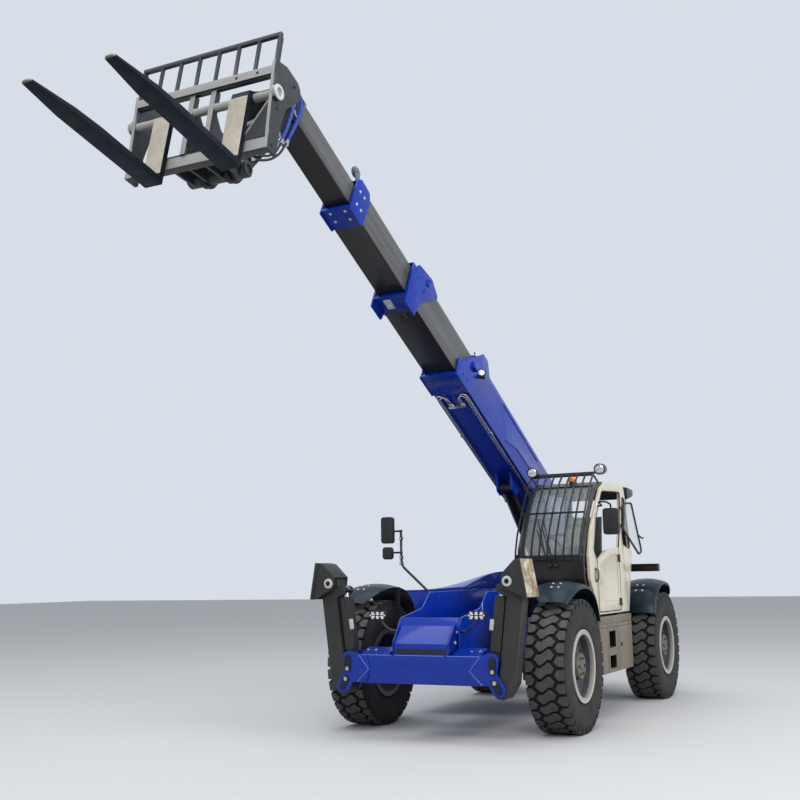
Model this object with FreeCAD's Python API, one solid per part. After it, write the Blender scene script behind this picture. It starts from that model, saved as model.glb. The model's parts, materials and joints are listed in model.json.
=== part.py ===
import FreeCAD, Part

import os
from math import acos, atan2, cos, hypot, pi, radians, sin, tan

Vec = FreeCAD.Vector

# Telehandler with a four-section boom, front stabilizers and a pallet fork carriage.
# Millimetres. X forward from the front axle, Y to the machine's left, Z up from the ground.

# Wheels and axles
WHEELBASE = 3310
TRACK = 2130
TYRE_RADIUS = 635
TYRE_WIDTH = 390
TREAD_DEPTH = 34
SHOULDER = 6
TREAD_PITCHES = 22
LUG_OVERHANG = 26
RIM_RADIUS = 347
RIM_SEAT_RADIUS = 320
RIM_WIDTH = 366
RIM_WALL = 14
DISC_OFFSET = 62
DISC_HOLES = 6
DISC_HOLE_RADIUS = 24
HUB_RADIUS = 152
HUB_OUT = 118
KINGPIN_INSET = 265
KINGPIN_Y = TRACK / 2 - KINGPIN_INSET
SPINDLE_RADIUS = 92
SPIN_GAP = 0.4
AXLE_TUBE_RADIUS = 78
AXLE_CASE_RADIUS = 165
YOKE_HEIGHT = 128
YOKE_WALL = 34
KNUCKLE_RADIUS = 96

# Fenders that turn with the wheels
FENDER_INSET = 250
FENDER_IN = TRACK / 2 - FENDER_INSET
FENDER_REACH = 207
FENDER_OUT = TRACK / 2 + FENDER_REACH
FENDER_WALL = 9
FENDER_LIP = 46

# Chassis
FRAME_HALF = 330
FRAME_WALL = 20
FRAME_TOP = 1380
FRAME_LOW = 500
REAR_OVERHANG = 840
FRAME_REAR = -WHEELBASE - REAR_OVERHANG
FLOOR_PLATE = 18

HITCH_OUT = 75
HITCH_X = FRAME_REAR - HITCH_OUT
HITCH_RADIUS = 21

# Front crossbeam and its end brackets
BEAM_REAR = 860
BEAM_FRONT = 1075
BEAM_LOW = 525
BEAM_TOP = 787
BEAM_HALF = 640
BRACKET_PLATE = 25
FLANGE_TOP = 850
BOX_FRONT = 1022
BRACKET_FRONT = 1070
BRACKET_REAR = 900
PIN_RADIUS = 25
PIN_GAP = 0.4
LEG_PIN = (809, 487)
RAM_PIN = (748, 761)

# Stabilizers, seen along X: the leg runs from its pin to the foot's pin
FOOT_PIN = (932, 1461)
LEG_REAR = 905
LEG_FRONT = 1065
LEG_WALL = 10
RAM_LINE = -95
RAM_EYE_UP = 905
FOOT_PLATE = 25
FOOT_GAP = 10
FOOT_GAP_FRONT = 50
SOLE_REAR = 850
SOLE_FRONT = 1165

# Boom: pivot, angle at rest and the four sections
PIVOT_BEHIND = 390
BOOM_PIVOT = (-WHEELBASE - PIVOT_BEHIND, 1650)
BOOM_ANGLE = 27.3
BOOM_TAIL = -250
PIVOT_RADIUS = 70
BOOM_PIN_RADIUS = 45
SLIDE_GAP = 0.4
PAD_LENGTH = 130

# Lift cylinder: its eye on the boom in the boom's frame, its rod eye on the chassis
LIFT_EYE = (2523, -342)
LIFT_AHEAD = 260
LIFT_BASE = (-WHEELBASE + LIFT_AHEAD, 950)
LIFT_BARREL_RADIUS = 70
LIFT_ROD_RADIUS = 44
LIFT_EYE_RADIUS = 62
LIFT_HALF = 62
LIFT_EAR_GAP = 14
LIFT_BARREL_LENGTH = 1560
LIFT_ROD_START = 650

# Boom head and fork carriage
HEAD_START = 7840
HEAD_PIVOT = (8317, -1153)
HEAD_IN = 104
HEAD_OUT = 124
HEAD_BOSS = 82
CARRIAGE_TILT = 13.4
CARRIAGE_PIVOT = (-380, 240)
CARRIAGE_HALF = 622
SIDE_PLATE = 24
TILT_LUG = (-280, 440)
TILT_BASE = (7960, -70)
TILT_ROD_START = 245
TILT_BARREL_LENGTH = 720
FORK_LENGTH = 1206
FORK_WIDTH = 155
FORK_TIP_WIDTH = 84
FORK_THICK = 50
FORK_LEFT_Y = 378
FORK_RIGHT_Y = -291
SHAFT_RADIUS = 32
SHAFT_AT = (-92, 598)
BACKREST_TOP = 1100

# Cab
CAB_RIGHT = 362
CAB_LEFT = 1130
CAB_WALL = 38
CAB_FLOOR = 1085
DOOR_THICK = 34
DOOR_GAP = 7
DOOR_HINGE = (-1812, 1145)
GLASS = 6
GLASS_GAP = 0.3
WHEEL_RADIUS = 180
GUARD_BAR = 12
GUARD_DEPTH = 22

# Engine bay and hood on the right side
BAY_FRONT = -860
BAY_CLEAR = 870
BAY_REAR = -WHEELBASE + BAY_CLEAR
BAY_OUT = -1130
BAY_LOW = 500
BAY_TOP = 1350
BAY_WALL = 8
LOUVRE_ROWS = 8
HOOD_WALL = 6
HOOD_GAP = 0.3

# Step box and tank under the cab
SKIRT_FRONT = -950
SKIRT_CLEAR = 1120
SKIRT_REAR = -WHEELBASE + SKIRT_CLEAR
SKIRT_LOW = 462
SKIRT_TOP = 1060

parts = {}
body_of = {}


def keep(name, body, shape):
    """Store a finished piece under its node's name and note the body that it moves with."""
    parts[name] = shape
    body_of[name] = body


def block(x0, x1, y0, y1, z0, z1):
    """A block between two corners."""
    return Part.makeBox(x1 - x0, y1 - y0, z1 - z0, Vec(x0, y0, z0))


def rod(start, end, radius):
    """A round bar from start to end."""
    return Part.makeCylinder(radius, (end - start).Length, start, end - start)


def tube(start, end, radius, bore):
    """A round tube from start to end."""
    return rod(start, end, radius).cut(rod(start, end, bore))


def fuse(shapes):
    """One solid out of several that touch."""
    shapes = list(shapes)
    whole = shapes[0].multiFuse(shapes[1:]) if len(shapes) > 1 else shapes[0]
    return whole.removeSplitter()


def group(shapes):
    """Several solids that don't touch, kept as one node."""
    return Part.makeCompound(list(shapes))


def mirrored(shape):
    """The same piece on the other side of the machine."""
    return shape.mirror(Vec(0, 0, 0), Vec(0, 1, 0))


def wire(corners, place):
    """A closed wire through corners (a, b) or (a, b, radius); place turns a and b into a point."""
    corners = [c if len(c) == 3 else (c[0], c[1], 0) for c in corners]
    stops = []
    for i, (a, b, radius) in enumerate(corners):
        before = corners[i - 1]
        after = corners[(i + 1) % len(corners)]
        if radius <= 0:
            stops.append((place(a, b),))
            continue
        in_length = hypot(before[0] - a, before[1] - b)
        out_length = hypot(after[0] - a, after[1] - b)
        ux, uy = (before[0] - a) / in_length, (before[1] - b) / in_length
        vx, vy = (after[0] - a) / out_length, (after[1] - b) / out_length
        half = acos(max(-1, min(1, ux * vx + uy * vy))) / 2
        reach = radius / tan(half)
        mx, my = ux + vx, uy + vy
        size = hypot(mx, my)
        middle = (radius / sin(half) - radius) / size
        stops.append((place(a + ux * reach, b + uy * reach),
                      place(a + mx * middle, b + my * middle),
                      place(a + vx * reach, b + vy * reach)))
    edges = []
    for i, stop in enumerate(stops):
        if len(stop) == 3:
            edges.append(Part.Arc(*stop).toShape())
        following = stops[(i + 1) % len(stops)][0]
        if (following - stop[-1]).Length > 1e-4:
            edges.append(Part.makeLine(stop[-1], following))
    return Part.Wire(edges)


def prism(axis, corners, low, high):
    """An outline across an axis, drawn out along it from low to high."""
    place = {"x": lambda a, b: Vec(low, a, b),
             "y": lambda a, b: Vec(a, low, b),
             "z": lambda a, b: Vec(a, b, low)}[axis]
    way = {"x": Vec(high - low, 0, 0), "y": Vec(0, high - low, 0), "z": Vec(0, 0, high - low)}[axis]
    return Part.Face(wire(corners, place)).extrude(way)


def turned(corners, x, z):
    """A ring turned about the line along Y through (x, z), from corners (radius, y)."""
    face = Part.Face(wire(corners, lambda r, y: Vec(x + r, y, z)))
    return face.revolve(Vec(x, 0, z), Vec(0, 1, 0), 360)


def strip(path, width, bend=0, shift=0):
    """The outline of a flat bar along a path, with rounded bends; shift moves it to the path's left."""
    left, right = [], []
    near, far = width / 2 + shift, width / 2 - shift
    for i, (a, b) in enumerate(path):
        before = path[max(i - 1, 0)]
        after = path[min(i + 1, len(path) - 1)]
        first = atan2(b - before[1], a - before[0]) if i > 0 else None
        second = atan2(after[1] - b, after[0] - a) if i < len(path) - 1 else first
        first = second if first is None else first
        turn = (second - first + pi) % (2 * pi) - pi
        way = first + turn / 2
        nx, ny = -sin(way) / cos(turn / 2), cos(way) / cos(turn / 2)
        rounded = bend > 0 and abs(turn) > 0.02
        sign = 1 if turn > 0 else -1
        left.append((a + nx * near, b + ny * near, bend - sign * near if rounded else 0))
        right.append((a - nx * far, b - ny * far, bend + sign * far if rounded else 0))
    return left + right[::-1]


def pipe(points, radius):
    """A bent pipe along straight runs joined by tangent arcs."""
    edges = []
    start = Vec(*points[0])
    for i in range(1, len(points) - 1):
        here = Vec(*points[i])
        back = Vec(*points[i - 1]) - here
        ahead = Vec(*points[i + 1]) - here
        short = min(back.Length, ahead.Length)
        back.normalize()
        ahead.normalize()
        half = back.getAngle(ahead) / 2
        reach = 0.45 * short
        round_radius = reach * tan(half)
        middle = back + ahead
        middle.normalize()
        p_in = here + back * reach
        p_out = here + ahead * reach
        p_mid = here + middle * (round_radius / sin(half) - round_radius)
        edges.append(Part.makeLine(start, p_in))
        edges.append(Part.Arc(p_in, p_mid, p_out).toShape())
        start = p_out
    edges.append(Part.makeLine(start, Vec(*points[-1])))
    path = Part.Wire(edges)
    way = Vec(*points[1]) - Vec(*points[0])
    circle = Part.Wire([Part.makeCircle(radius, Vec(*points[0]), way)])
    return path.makePipeShell([circle], True, False)


def on_boom(shape):
    """Lift a piece from the boom's own frame, pivot at the origin and X along the boom."""
    placed = shape.copy()
    placed.rotate(Vec(0, 0, 0), Vec(0, 1, 0), -BOOM_ANGLE)
    placed.translate(Vec(BOOM_PIVOT[0], 0, BOOM_PIVOT[1]))
    return placed


def boom_point(x, z):
    """Where a point of the boom's own frame is on the machine, as (X, Z)."""
    a = radians(BOOM_ANGLE)
    return (BOOM_PIVOT[0] + x * cos(a) - z * sin(a), BOOM_PIVOT[1] + x * sin(a) + z * cos(a))


HEAD_AT = boom_point(*HEAD_PIVOT)


def on_carriage(shape):
    """Lift a piece from the carriage's own frame, X along the forks and Z up the shanks."""
    placed = shape.copy()
    placed.translate(Vec(-CARRIAGE_PIVOT[0], 0, -CARRIAGE_PIVOT[1]))
    placed.rotate(Vec(0, 0, 0), Vec(0, 1, 0), -CARRIAGE_TILT)
    placed.translate(Vec(HEAD_AT[0], 0, HEAD_AT[1]))
    return placed


def carriage_point(x, z):
    """Where a point of the carriage's own frame is on the machine, as (X, Z)."""
    a = radians(CARRIAGE_TILT)
    dx = x - CARRIAGE_PIVOT[0]
    dz = z - CARRIAGE_PIVOT[1]
    return (HEAD_AT[0] + dx * cos(a) - dz * sin(a), HEAD_AT[1] + dx * sin(a) + dz * cos(a))


# Wheels: one tyre and one rim, set at the four corners

def tyre_section():
    """The casing's section with its beads, open towards the rim, as (radius, y)."""
    half = TYRE_WIDTH / 2
    wall = 32
    seat = RIM_SEAT_RADIUS + SPIN_GAP
    base = TYRE_RADIUS - TREAD_DEPTH
    outside = [(seat, half - 32), (TYRE_RADIUS * 0.8, half), (base - 24, half - SHOULDER),
               (base, half - 46)]
    inside = [(base - wall, half - 58), (seat, half - 32 - wall * 1.5)]
    near_side = inside + outside
    return near_side + [(r, -y) for r, y in near_side[::-1]]


# One lug seen from outside the tyre, from the shoulder to past the middle, as (along the tread, y)
LUG = [(-76, TYRE_WIDTH / 2 - SHOULDER), (-10, TYRE_WIDTH / 2 - SHOULDER), (-4, -14), (-62, -14)]


def tyre():
    """A tyre at the origin: a casing with one flat side for each pitch, and two lugs on each."""
    step = 360 / TREAD_PITCHES
    half = pi / TREAD_PITCHES
    reach = TYRE_RADIUS * tan(half)
    wedge = prism("y", [(0, 0), (-reach, -TYRE_RADIUS), (reach, -TYRE_RADIUS)], -TYRE_WIDTH, TYRE_WIDTH)
    casing = prism("x", [(y, -r) for r, y in tyre_section()], -reach, reach).common(wedge)
    low = -TYRE_RADIUS
    high = -TYRE_RADIUS + TREAD_DEPTH + LUG_OVERHANG
    left = prism("z", LUG, low, high)
    right = prism("z", [(-a, -b) for a, b in LUG], low, high)
    pieces = []
    for i in range(TREAD_PITCHES):
        for piece in (casing, left, right):
            turned_piece = piece.copy()
            turned_piece.rotate(Vec(0, 0, 0), Vec(0, 1, 0), i * step)
            pieces.append(turned_piece)
    return fuse(pieces)


def rim(x, side):
    """A dished rim with its hub, from corners (radius, y outward from the tyre's middle)."""
    half = RIM_WIDTH / 2
    inside = RIM_SEAT_RADIUS - RIM_WALL
    profile = [
        (inside - 6, -half - 6), (RIM_RADIUS, -half - 6), (RIM_RADIUS, -half + 8),
        (RIM_SEAT_RADIUS, -half + 20),
        (RIM_SEAT_RADIUS, half - 20), (RIM_RADIUS, half - 8), (RIM_RADIUS, half + 6),
        (inside - 6, half + 6),
        (inside - 6, half - 14), (inside, half - 30), (inside, DISC_OFFSET + 30),
        (HUB_RADIUS + 40, DISC_OFFSET + 8), (HUB_RADIUS, DISC_OFFSET + 8), (HUB_RADIUS, HUB_OUT - 30),
        (HUB_RADIUS - 36, HUB_OUT), (0, HUB_OUT), (0, DISC_OFFSET - 10),
        (HUB_RADIUS, DISC_OFFSET - 10), (inside, DISC_OFFSET + 8), (inside, -half + 30),
        (inside - 6, -half + 14)]
    placed = [(c[0], side * (TRACK / 2 + c[1])) + c[2:] for c in profile]
    shape = turned(placed, x, TYRE_RADIUS)
    reach = (HUB_RADIUS + 40 + inside) / 2
    holes = []
    for i in range(DISC_HOLES):
        angle = 2 * pi * i / DISC_HOLES
        at_x, at_z = x + reach * sin(angle), TYRE_RADIUS + reach * cos(angle)
        holes.append(rod(Vec(at_x, side * (TRACK / 2 + DISC_OFFSET - 40), at_z),
                         Vec(at_x, side * (TRACK / 2 + DISC_OFFSET + 60), at_z), DISC_HOLE_RADIUS))
    return shape.cut(holes)


def knuckle(x, side):
    """Steering knuckle: a drum on the kingpin with the spindle that carries the wheel."""
    z = TYRE_RADIUS
    pin = side * KINGPIN_Y
    tall = YOKE_HEIGHT - YOKE_WALL / 2 - 6
    drum = rod(Vec(x, pin, z - tall), Vec(x, pin, z + tall), KNUCKLE_RADIUS)
    spindle_end = side * (TRACK / 2 + DISC_OFFSET - 10 - SPIN_GAP)
    spindle = rod(Vec(x, pin, z), Vec(x, spindle_end, z), SPINDLE_RADIUS)
    flange = rod(Vec(x, side * (TRACK / 2 - 60), z), Vec(x, side * (TRACK / 2 + 10), z),
                 SPINDLE_RADIUS + 34)
    way = -1 if x > -WHEELBASE / 2 else 1
    arm = prism("z", [(x, pin - 40), (x, pin + 40), (x + way * 190, pin + 10, 24),
                      (x + way * 210, pin - 10, 24), (x + way * 190, pin - 46, 24)], z + 30, z + 62)
    bracket_x = x + way * POST_OUT
    near, far = side * (KINGPIN_Y + 8), side * (KINGPIN_Y + 42)
    inner_y, outer_y = min(near, far), max(near, far)
    post = block(bracket_x - 22, bracket_x + 22, inner_y, outer_y, z + 62, FENDER_TOP - FENDER_WALL / 2)
    foot = block(min(x, bracket_x + way * 22), max(x, bracket_x + way * 22), inner_y, outer_y, z + 62,
                 z + 90)
    whole = fuse([drum, spindle, flange, arm, foot, post])
    bore = rod(Vec(x, pin, z - 400), Vec(x, pin, z + 60), PIN_RADIUS + 8)
    return whole.cut(bore)


# Fender path over the tyre, from the end near the cab to the other end, as (towards the cab, up)
FENDER_PATH = [(560, 1040), (420, 1300), (180, 1412), (-200, 1412), (-390, 1262)]


FENDER_TOP = FENDER_PATH[2][1]
POST_OUT = 122


def fender(x, side):
    """A thin curved fender with a lip along its outer edge."""
    sheet = prism("y", strip(FENDER_PATH, FENDER_WALL, 130), FENDER_IN, FENDER_OUT)
    lip = prism("y", strip(FENDER_PATH, FENDER_LIP, 130, FENDER_LIP / 2), FENDER_OUT - FENDER_WALL,
                FENDER_OUT + 1)
    shape = fuse([sheet, lip])
    if side < 0:
        shape = mirrored(shape)
    if x > -WHEELBASE / 2:
        shape = shape.mirror(Vec(0, 0, 0), Vec(1, 0, 0))
    shape.translate(Vec(x, 0, 0))
    return shape


def axle(x):
    """Axle case with its tubes, the yokes round the knuckles and the kingpins."""
    z = TYRE_RADIUS
    case = turned([(0, -AXLE_CASE_RADIUS), (90, -AXLE_CASE_RADIUS), (AXLE_CASE_RADIUS, -60, 30),
                   (AXLE_CASE_RADIUS, 60, 30), (90, AXLE_CASE_RADIUS), (0, AXLE_CASE_RADIUS)], x, z)
    end = KINGPIN_Y - 110
    pieces = [case, rod(Vec(x, -end, z), Vec(x, end, z), AXLE_TUBE_RADIUS)]
    for side in (-1, 1):
        for level in (-1, 1):
            arm_z = z + level * YOKE_HEIGHT
            y0, y1 = side * (end - 50), side * KINGPIN_Y
            pieces.append(block(x - 56, x + 56, min(y0, y1), max(y0, y1), arm_z - YOKE_WALL / 2,
                                arm_z + YOKE_WALL / 2))
            pieces.append(rod(Vec(x, y1, arm_z - YOKE_WALL / 2), Vec(x, y1, arm_z + YOKE_WALL / 2), 56))
        y0, y1 = side * (end - 50), side * end
        pieces.append(block(x - 56, x + 56, min(y0, y1), max(y0, y1), z - YOKE_HEIGHT, z + YOKE_HEIGHT))
        pieces.append(rod(Vec(x, side * KINGPIN_Y, z - YOKE_HEIGHT), Vec(x, side * KINGPIN_Y, z + 54),
                          PIN_RADIUS + 7.6))
    mount_top = AXLE_ARCH
    for side in (-1, 1):
        y0 = side * (FRAME_HALF - FRAME_WALL / 2)
        pieces.append(block(x - 90, x + 90, y0 - 70, y0 + 70, z + 20, mount_top))
    steer = -1 if x > -WHEELBASE / 2 else 1
    ram_x = x + steer * 190
    pieces.append(rod(Vec(ram_x, -300, z + 10), Vec(ram_x, 300, z + 10), 42))
    pieces.append(block(min(x, ram_x), max(x, ram_x), -50, 50, z - 20, z + 30))
    return fuse(pieces)


AXLE_ARCH = 820

corners = [("front_left", 0, 1), ("front_right", 0, -1), ("rear_left", -WHEELBASE, 1),
           ("rear_right", -WHEELBASE, -1)]
one_tyre = tyre()
for corner, x, side in corners:
    placed_tyre = one_tyre.copy()
    placed_tyre.translate(Vec(x, side * TRACK / 2, TYRE_RADIUS))
    keep("tyre_" + corner, "wheel_" + corner, placed_tyre)
    keep("rim_" + corner, "wheel_" + corner, rim(x, side))
    keep("knuckle_" + corner, "steer_" + corner, knuckle(x, side))
    keep("fender_" + corner, "steer_" + corner, fender(x, side))
keep("axle_front", "chassis", axle(0))
keep("axle_rear", "chassis", axle(-WHEELBASE))


# Chassis: two side plates with cross members

def side_plate_outline():
    """Side plate seen from the left, as (X, Z, radius)."""
    rear_x = -WHEELBASE
    px, pz = BOOM_PIVOT
    return [
        (BEAM_REAR, BEAM_LOW), (330, BEAM_LOW, 40), (230, AXLE_ARCH, 40), (-230, AXLE_ARCH, 40),
        (-360, FRAME_LOW, 60), (rear_x + 360, FRAME_LOW, 60), (rear_x + 230, AXLE_ARCH, 40),
        (rear_x - 230, AXLE_ARCH, 40), (rear_x - 330, 600, 40), (FRAME_REAR, 600),
        (FRAME_REAR, 1240, 60), (px - 190, 1330, 80), (px - 150, pz + 150, 120), (px + 130, pz + 150, 120),
        (px + 330, FRAME_TOP + 120, 150), (px + 800, FRAME_TOP, 200), (150, FRAME_TOP - 25, 90),
        (330, 1200, 140), (BEAM_REAR - 60, 1125, 30), (BEAM_REAR, 1050)]


def side_plates():
    """The two side plates with the bosses of the boom's pin."""
    px, pz = BOOM_PIVOT
    plate = prism("y", side_plate_outline(), FRAME_HALF - FRAME_WALL, FRAME_HALF)
    boss = rod(Vec(px, FRAME_HALF, pz), Vec(px, FRAME_HALF + 26, pz), 95)
    one = fuse([plate, boss])
    return group([one, mirrored(one)])


def chassis():
    """What joins the side plates: floors, walls, tubes, the boom's pin and the cylinder's ears."""
    px, pz = BOOM_PIVOT
    inside = FRAME_HALF - FRAME_WALL
    pin = rod(Vec(px, -inside, pz), Vec(px, inside, pz), BOOM_PIN_RADIUS)
    ear_in = LIFT_HALF + LIFT_EAR_GAP
    bx, bz = LIFT_BASE
    ear = prism("y", [(bx + 125, FRAME_LOW), (bx + 420, FRAME_LOW), (bx + 150, bz + 60, 60),
                      (bx + 60, bz + 110, 60),
                      (bx - 40, bz + 100, 60), (bx - 80, bz - 30, 60),
                      (bx - 30, 720, 40)], ear_in, ear_in + 24)
    floor = block(-WHEELBASE + 380, -380, -inside, inside, FRAME_LOW, FRAME_LOW + FLOOR_PLATE)
    front_floor = block(350, BEAM_REAR, -inside, inside, BEAM_LOW, BEAM_LOW + FLOOR_PLATE)
    rear_floor = block(FRAME_REAR, -WHEELBASE - 340, -inside, inside, 600, 600 + FLOOR_PLATE)
    front_wall = prism("y", [(640, 1010), (BEAM_REAR - 60, 1125), (BEAM_REAR - 40, 1125), (BEAM_REAR, 1050),
                             (BEAM_REAR, 1010)], -inside, inside)
    rear_wall = block(FRAME_REAR, FRAME_REAR + 25, -inside, inside, 600, 1230)
    cross_tubes = [tube(Vec(-700, -inside, 800), Vec(-700, inside, 800), 75, 63),
                   tube(Vec(BAY_REAR + 240, -inside, 720), Vec(BAY_REAR + 240, inside, 720), 75, 63)]
    hitch = [block(FRAME_REAR - 130, FRAME_REAR + 20, -80, 80, 500, 522),
             block(FRAME_REAR - 130, FRAME_REAR + 20, -80, 80, 588, 610),
             block(FRAME_REAR - 5, FRAME_REAR + 25, -80, 80, 500, 620)]
    stern = fuse([rear_floor, rear_wall] + hitch).cut(rod(Vec(HITCH_X, 0, 400), Vec(HITCH_X, 0, 618),
                                                          HITCH_RADIUS))
    return group([fuse([floor, ear, mirrored(ear)]), pin, front_floor, front_wall, stern] + cross_tubes)


keep("side_plates", "chassis", side_plates())
keep("chassis", "chassis", chassis())
weight_front = FRAME_REAR
keep("counterweight", "chassis", prism("z", [
    (weight_front, -600, 0), (weight_front, 600, 0), (weight_front - 10, 880, 30),
    (weight_front - 150, 900, 60),
    (weight_front - 260, 780, 90), (weight_front - 260, -780, 90), (weight_front - 150, -900, 60),
    (weight_front - 10, -880, 30)], 620, 1180))


# Front crossbeam, its end brackets with the pins, and the box in the middle

def bracket_outline():
    """End bracket seen from the front, as (Y, Z, radius)."""
    ly, lz = LEG_PIN
    ry, rz = RAM_PIN
    return [(BEAM_HALF - 30, BEAM_LOW + 8), (BEAM_HALF - 30, BEAM_TOP - 4), (ry - 30, rz + 62, 50),
            (ry + 66, rz + 40, 50),
            (ry + 40, rz - 130, 60), (ly + 66, lz + 20, 55), (ly + 30, lz - 66, 50), (ly - 60, lz - 40, 40),
            (ly - 100, BEAM_LOW + 8, 40)]


def front_beam():
    shell = block(BEAM_REAR, BEAM_FRONT, -BEAM_HALF, BEAM_HALF, BEAM_LOW, BEAM_TOP)
    wall = 12
    shell = shell.cut(block(BEAM_REAR + wall, BEAM_FRONT - wall, -BEAM_HALF + wall, BEAM_HALF - wall,
                            BEAM_LOW + wall, BEAM_TOP - wall))
    pieces = [shell]
    for side in (-1, 1):
        outline = [(side * c[0], c[1]) + c[2:] for c in bracket_outline()]
        pieces.append(prism("x", outline, BRACKET_FRONT, BRACKET_FRONT + BRACKET_PLATE))
        pieces.append(prism("x", outline, BRACKET_REAR - BRACKET_PLATE, BRACKET_REAR))
        middle = (BEAM_LOW + BEAM_TOP) / 2
        outline = [(side * (BEAM_HALF - 30), BEAM_LOW + 8), (side * (BEAM_HALF - 92), BEAM_LOW + 8),
                   (side * (BEAM_HALF - 130), middle), (side * (BEAM_HALF - 92), BEAM_TOP - 4),
                   (side * (BEAM_HALF - 30), BEAM_TOP - 4)]
        pieces.append(prism("x", outline, BEAM_FRONT, BRACKET_FRONT + BRACKET_PLATE))
        for y, z in (LEG_PIN, RAM_PIN):
            pieces.append(rod(Vec(BRACKET_REAR - BRACKET_PLATE - 12, side * y, z),
                              Vec(BRACKET_FRONT + BRACKET_PLATE + 14, side * y, z), PIN_RADIUS))
            keeper = prism("x", [(side * (y - 27), z + 27, 26), (side * (y + 27), z + 27, 26),
                                 (side * (y + 27), z - 27, 26), (side * (y - 27), z - 27, 26)],
                           BRACKET_FRONT + BRACKET_PLATE, BRACKET_FRONT + BRACKET_PLATE + 8)
            pieces.append(keeper)
        lip0, lip1 = side * 330, side * (BEAM_HALF - 20)
        pieces.append(prism("y", [(BEAM_FRONT - 8, BEAM_TOP), (BEAM_REAR + 40, FLANGE_TOP),
                                  (BEAM_REAR + 10, FLANGE_TOP), (BEAM_REAR + 10, BEAM_TOP)],
                            min(lip0, lip1), max(lip0, lip1)))
    box_half = 285
    hood = prism("y", [(BOX_FRONT, BEAM_TOP), (BOX_FRONT, 885), (BEAM_REAR + 12, 1048),
                       (BEAM_REAR, 1048),
                       (BEAM_REAR, BEAM_TOP)], -box_half, box_half)
    inner = prism("y", [(BOX_FRONT - 16, BEAM_TOP), (BOX_FRONT - 16, 872), (BEAM_REAR + 10, 1030),
                        (BEAM_REAR, 1030),
                        (BEAM_REAR, BEAM_TOP)], -box_half + 12, box_half - 12)
    pieces.append(hood.cut(inner))
    return fuse(pieces)


keep("front_beam", "chassis", front_beam())


# Stabilizers: leg, foot, cylinder barrel with its guard, and rod

LEG_LENGTH = hypot(FOOT_PIN[0] - LEG_PIN[0], FOOT_PIN[1] - LEG_PIN[1])
LEG_UP = ((FOOT_PIN[0] - LEG_PIN[0]) / LEG_LENGTH, (FOOT_PIN[1] - LEG_PIN[1]) / LEG_LENGTH)


def leg_point(up, out):
    """A point of the leg's own frame, up along it and out from it, as (Y, Z) on the left side."""
    return (LEG_PIN[0] + up * LEG_UP[0] + out * LEG_UP[1], LEG_PIN[1] + up * LEG_UP[1] - out * LEG_UP[0])


def leg_plate(corners, x0, x1):
    """A plate across X from corners (up, out, radius) of the leg's frame."""
    return prism("x", [leg_point(c[0], c[1]) + tuple(c[2:]) for c in corners], x0, x1)


def leg_rod(start, end, x, radius):
    """A round bar in the leg's frame at one X."""
    (y0, z0), (y1, z1) = leg_point(*start), leg_point(*end)
    return rod(Vec(x, y0, z0), Vec(x, y1, z1), radius)


RAM_X = (LEG_REAR + LEG_FRONT) / 2
RAM_UP = (RAM_PIN[0] - LEG_PIN[0]) * LEG_UP[0] + (RAM_PIN[1] - LEG_PIN[1]) * LEG_UP[1]
RAM_OUT = (RAM_PIN[0] - LEG_PIN[0]) * LEG_UP[1] - (RAM_PIN[1] - LEG_PIN[1]) * LEG_UP[0]


def stabilizer_leg():
    shell = leg_plate([(-70, -58, 50), (-74, 60, 58), (80, 132, 60), (925, 132, 40), (1045, 60, 50),
                       (1045, -56, 45),
                       (930, -56, 20), (890, -22, 20), (110, -22, 20), (66, -58, 20)], LEG_REAR, LEG_FRONT)
    hollow = leg_plate([(130, -12), (110, 112, 40), (900, 122, 30), (900, -12)], LEG_REAR + LEG_WALL,
                       LEG_FRONT - LEG_WALL)
    ears = []
    for x0 in (LEG_REAR, LEG_FRONT - 24):
        ears.append(leg_plate([(840, -20), (950, -20), (950, RAM_LINE, 30), (930, RAM_LINE - 42, 30),
                               (880, RAM_LINE - 42, 30), (860, RAM_LINE, 30)], x0, x0 + 24))
    shape = fuse([shell.cut(hollow)] + ears)
    y, z = LEG_PIN
    shape = shape.cut(rod(Vec(LEG_REAR - 5, y, z), Vec(LEG_FRONT + 5, y, z), PIN_RADIUS + PIN_GAP))
    fy, fz = FOOT_PIN
    foot_pin = rod(Vec(LEG_REAR - FOOT_GAP - FOOT_PLATE - 8, fy, fz),
                   Vec(LEG_FRONT + FOOT_GAP_FRONT + FOOT_PLATE + 8, fy, fz),
                   PIN_RADIUS)
    return fuse([shape, foot_pin])


def stabilizer_foot():
    profile = [(1193, 87), (1178, 44, 20), (1032, -71, 30), (925, -45, 40), (852, 191)]
    plates = []
    front = LEG_FRONT + FOOT_GAP_FRONT
    rear = LEG_REAR - FOOT_GAP - FOOT_PLATE
    for x0 in (rear, front):
        plates.append(leg_plate(profile, x0, x0 + FOOT_PLATE))
    sole = leg_plate([(1193, 87), (852, 191), (859, 214), (1200, 110)], SOLE_REAR, SOLE_FRONT)
    roof = leg_plate([(1193, 87), (1178, 44), (1032, -71), (1025, -62), (1168, 50), (1181, 92)],
                     rear, front + FOOT_PLATE)
    shape = fuse(plates + [sole, roof])
    y, z = FOOT_PIN
    return shape.cut(rod(Vec(rear - 5, y, z), Vec(front + FOOT_PLATE + 5, y, z), PIN_RADIUS + PIN_GAP))


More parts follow.
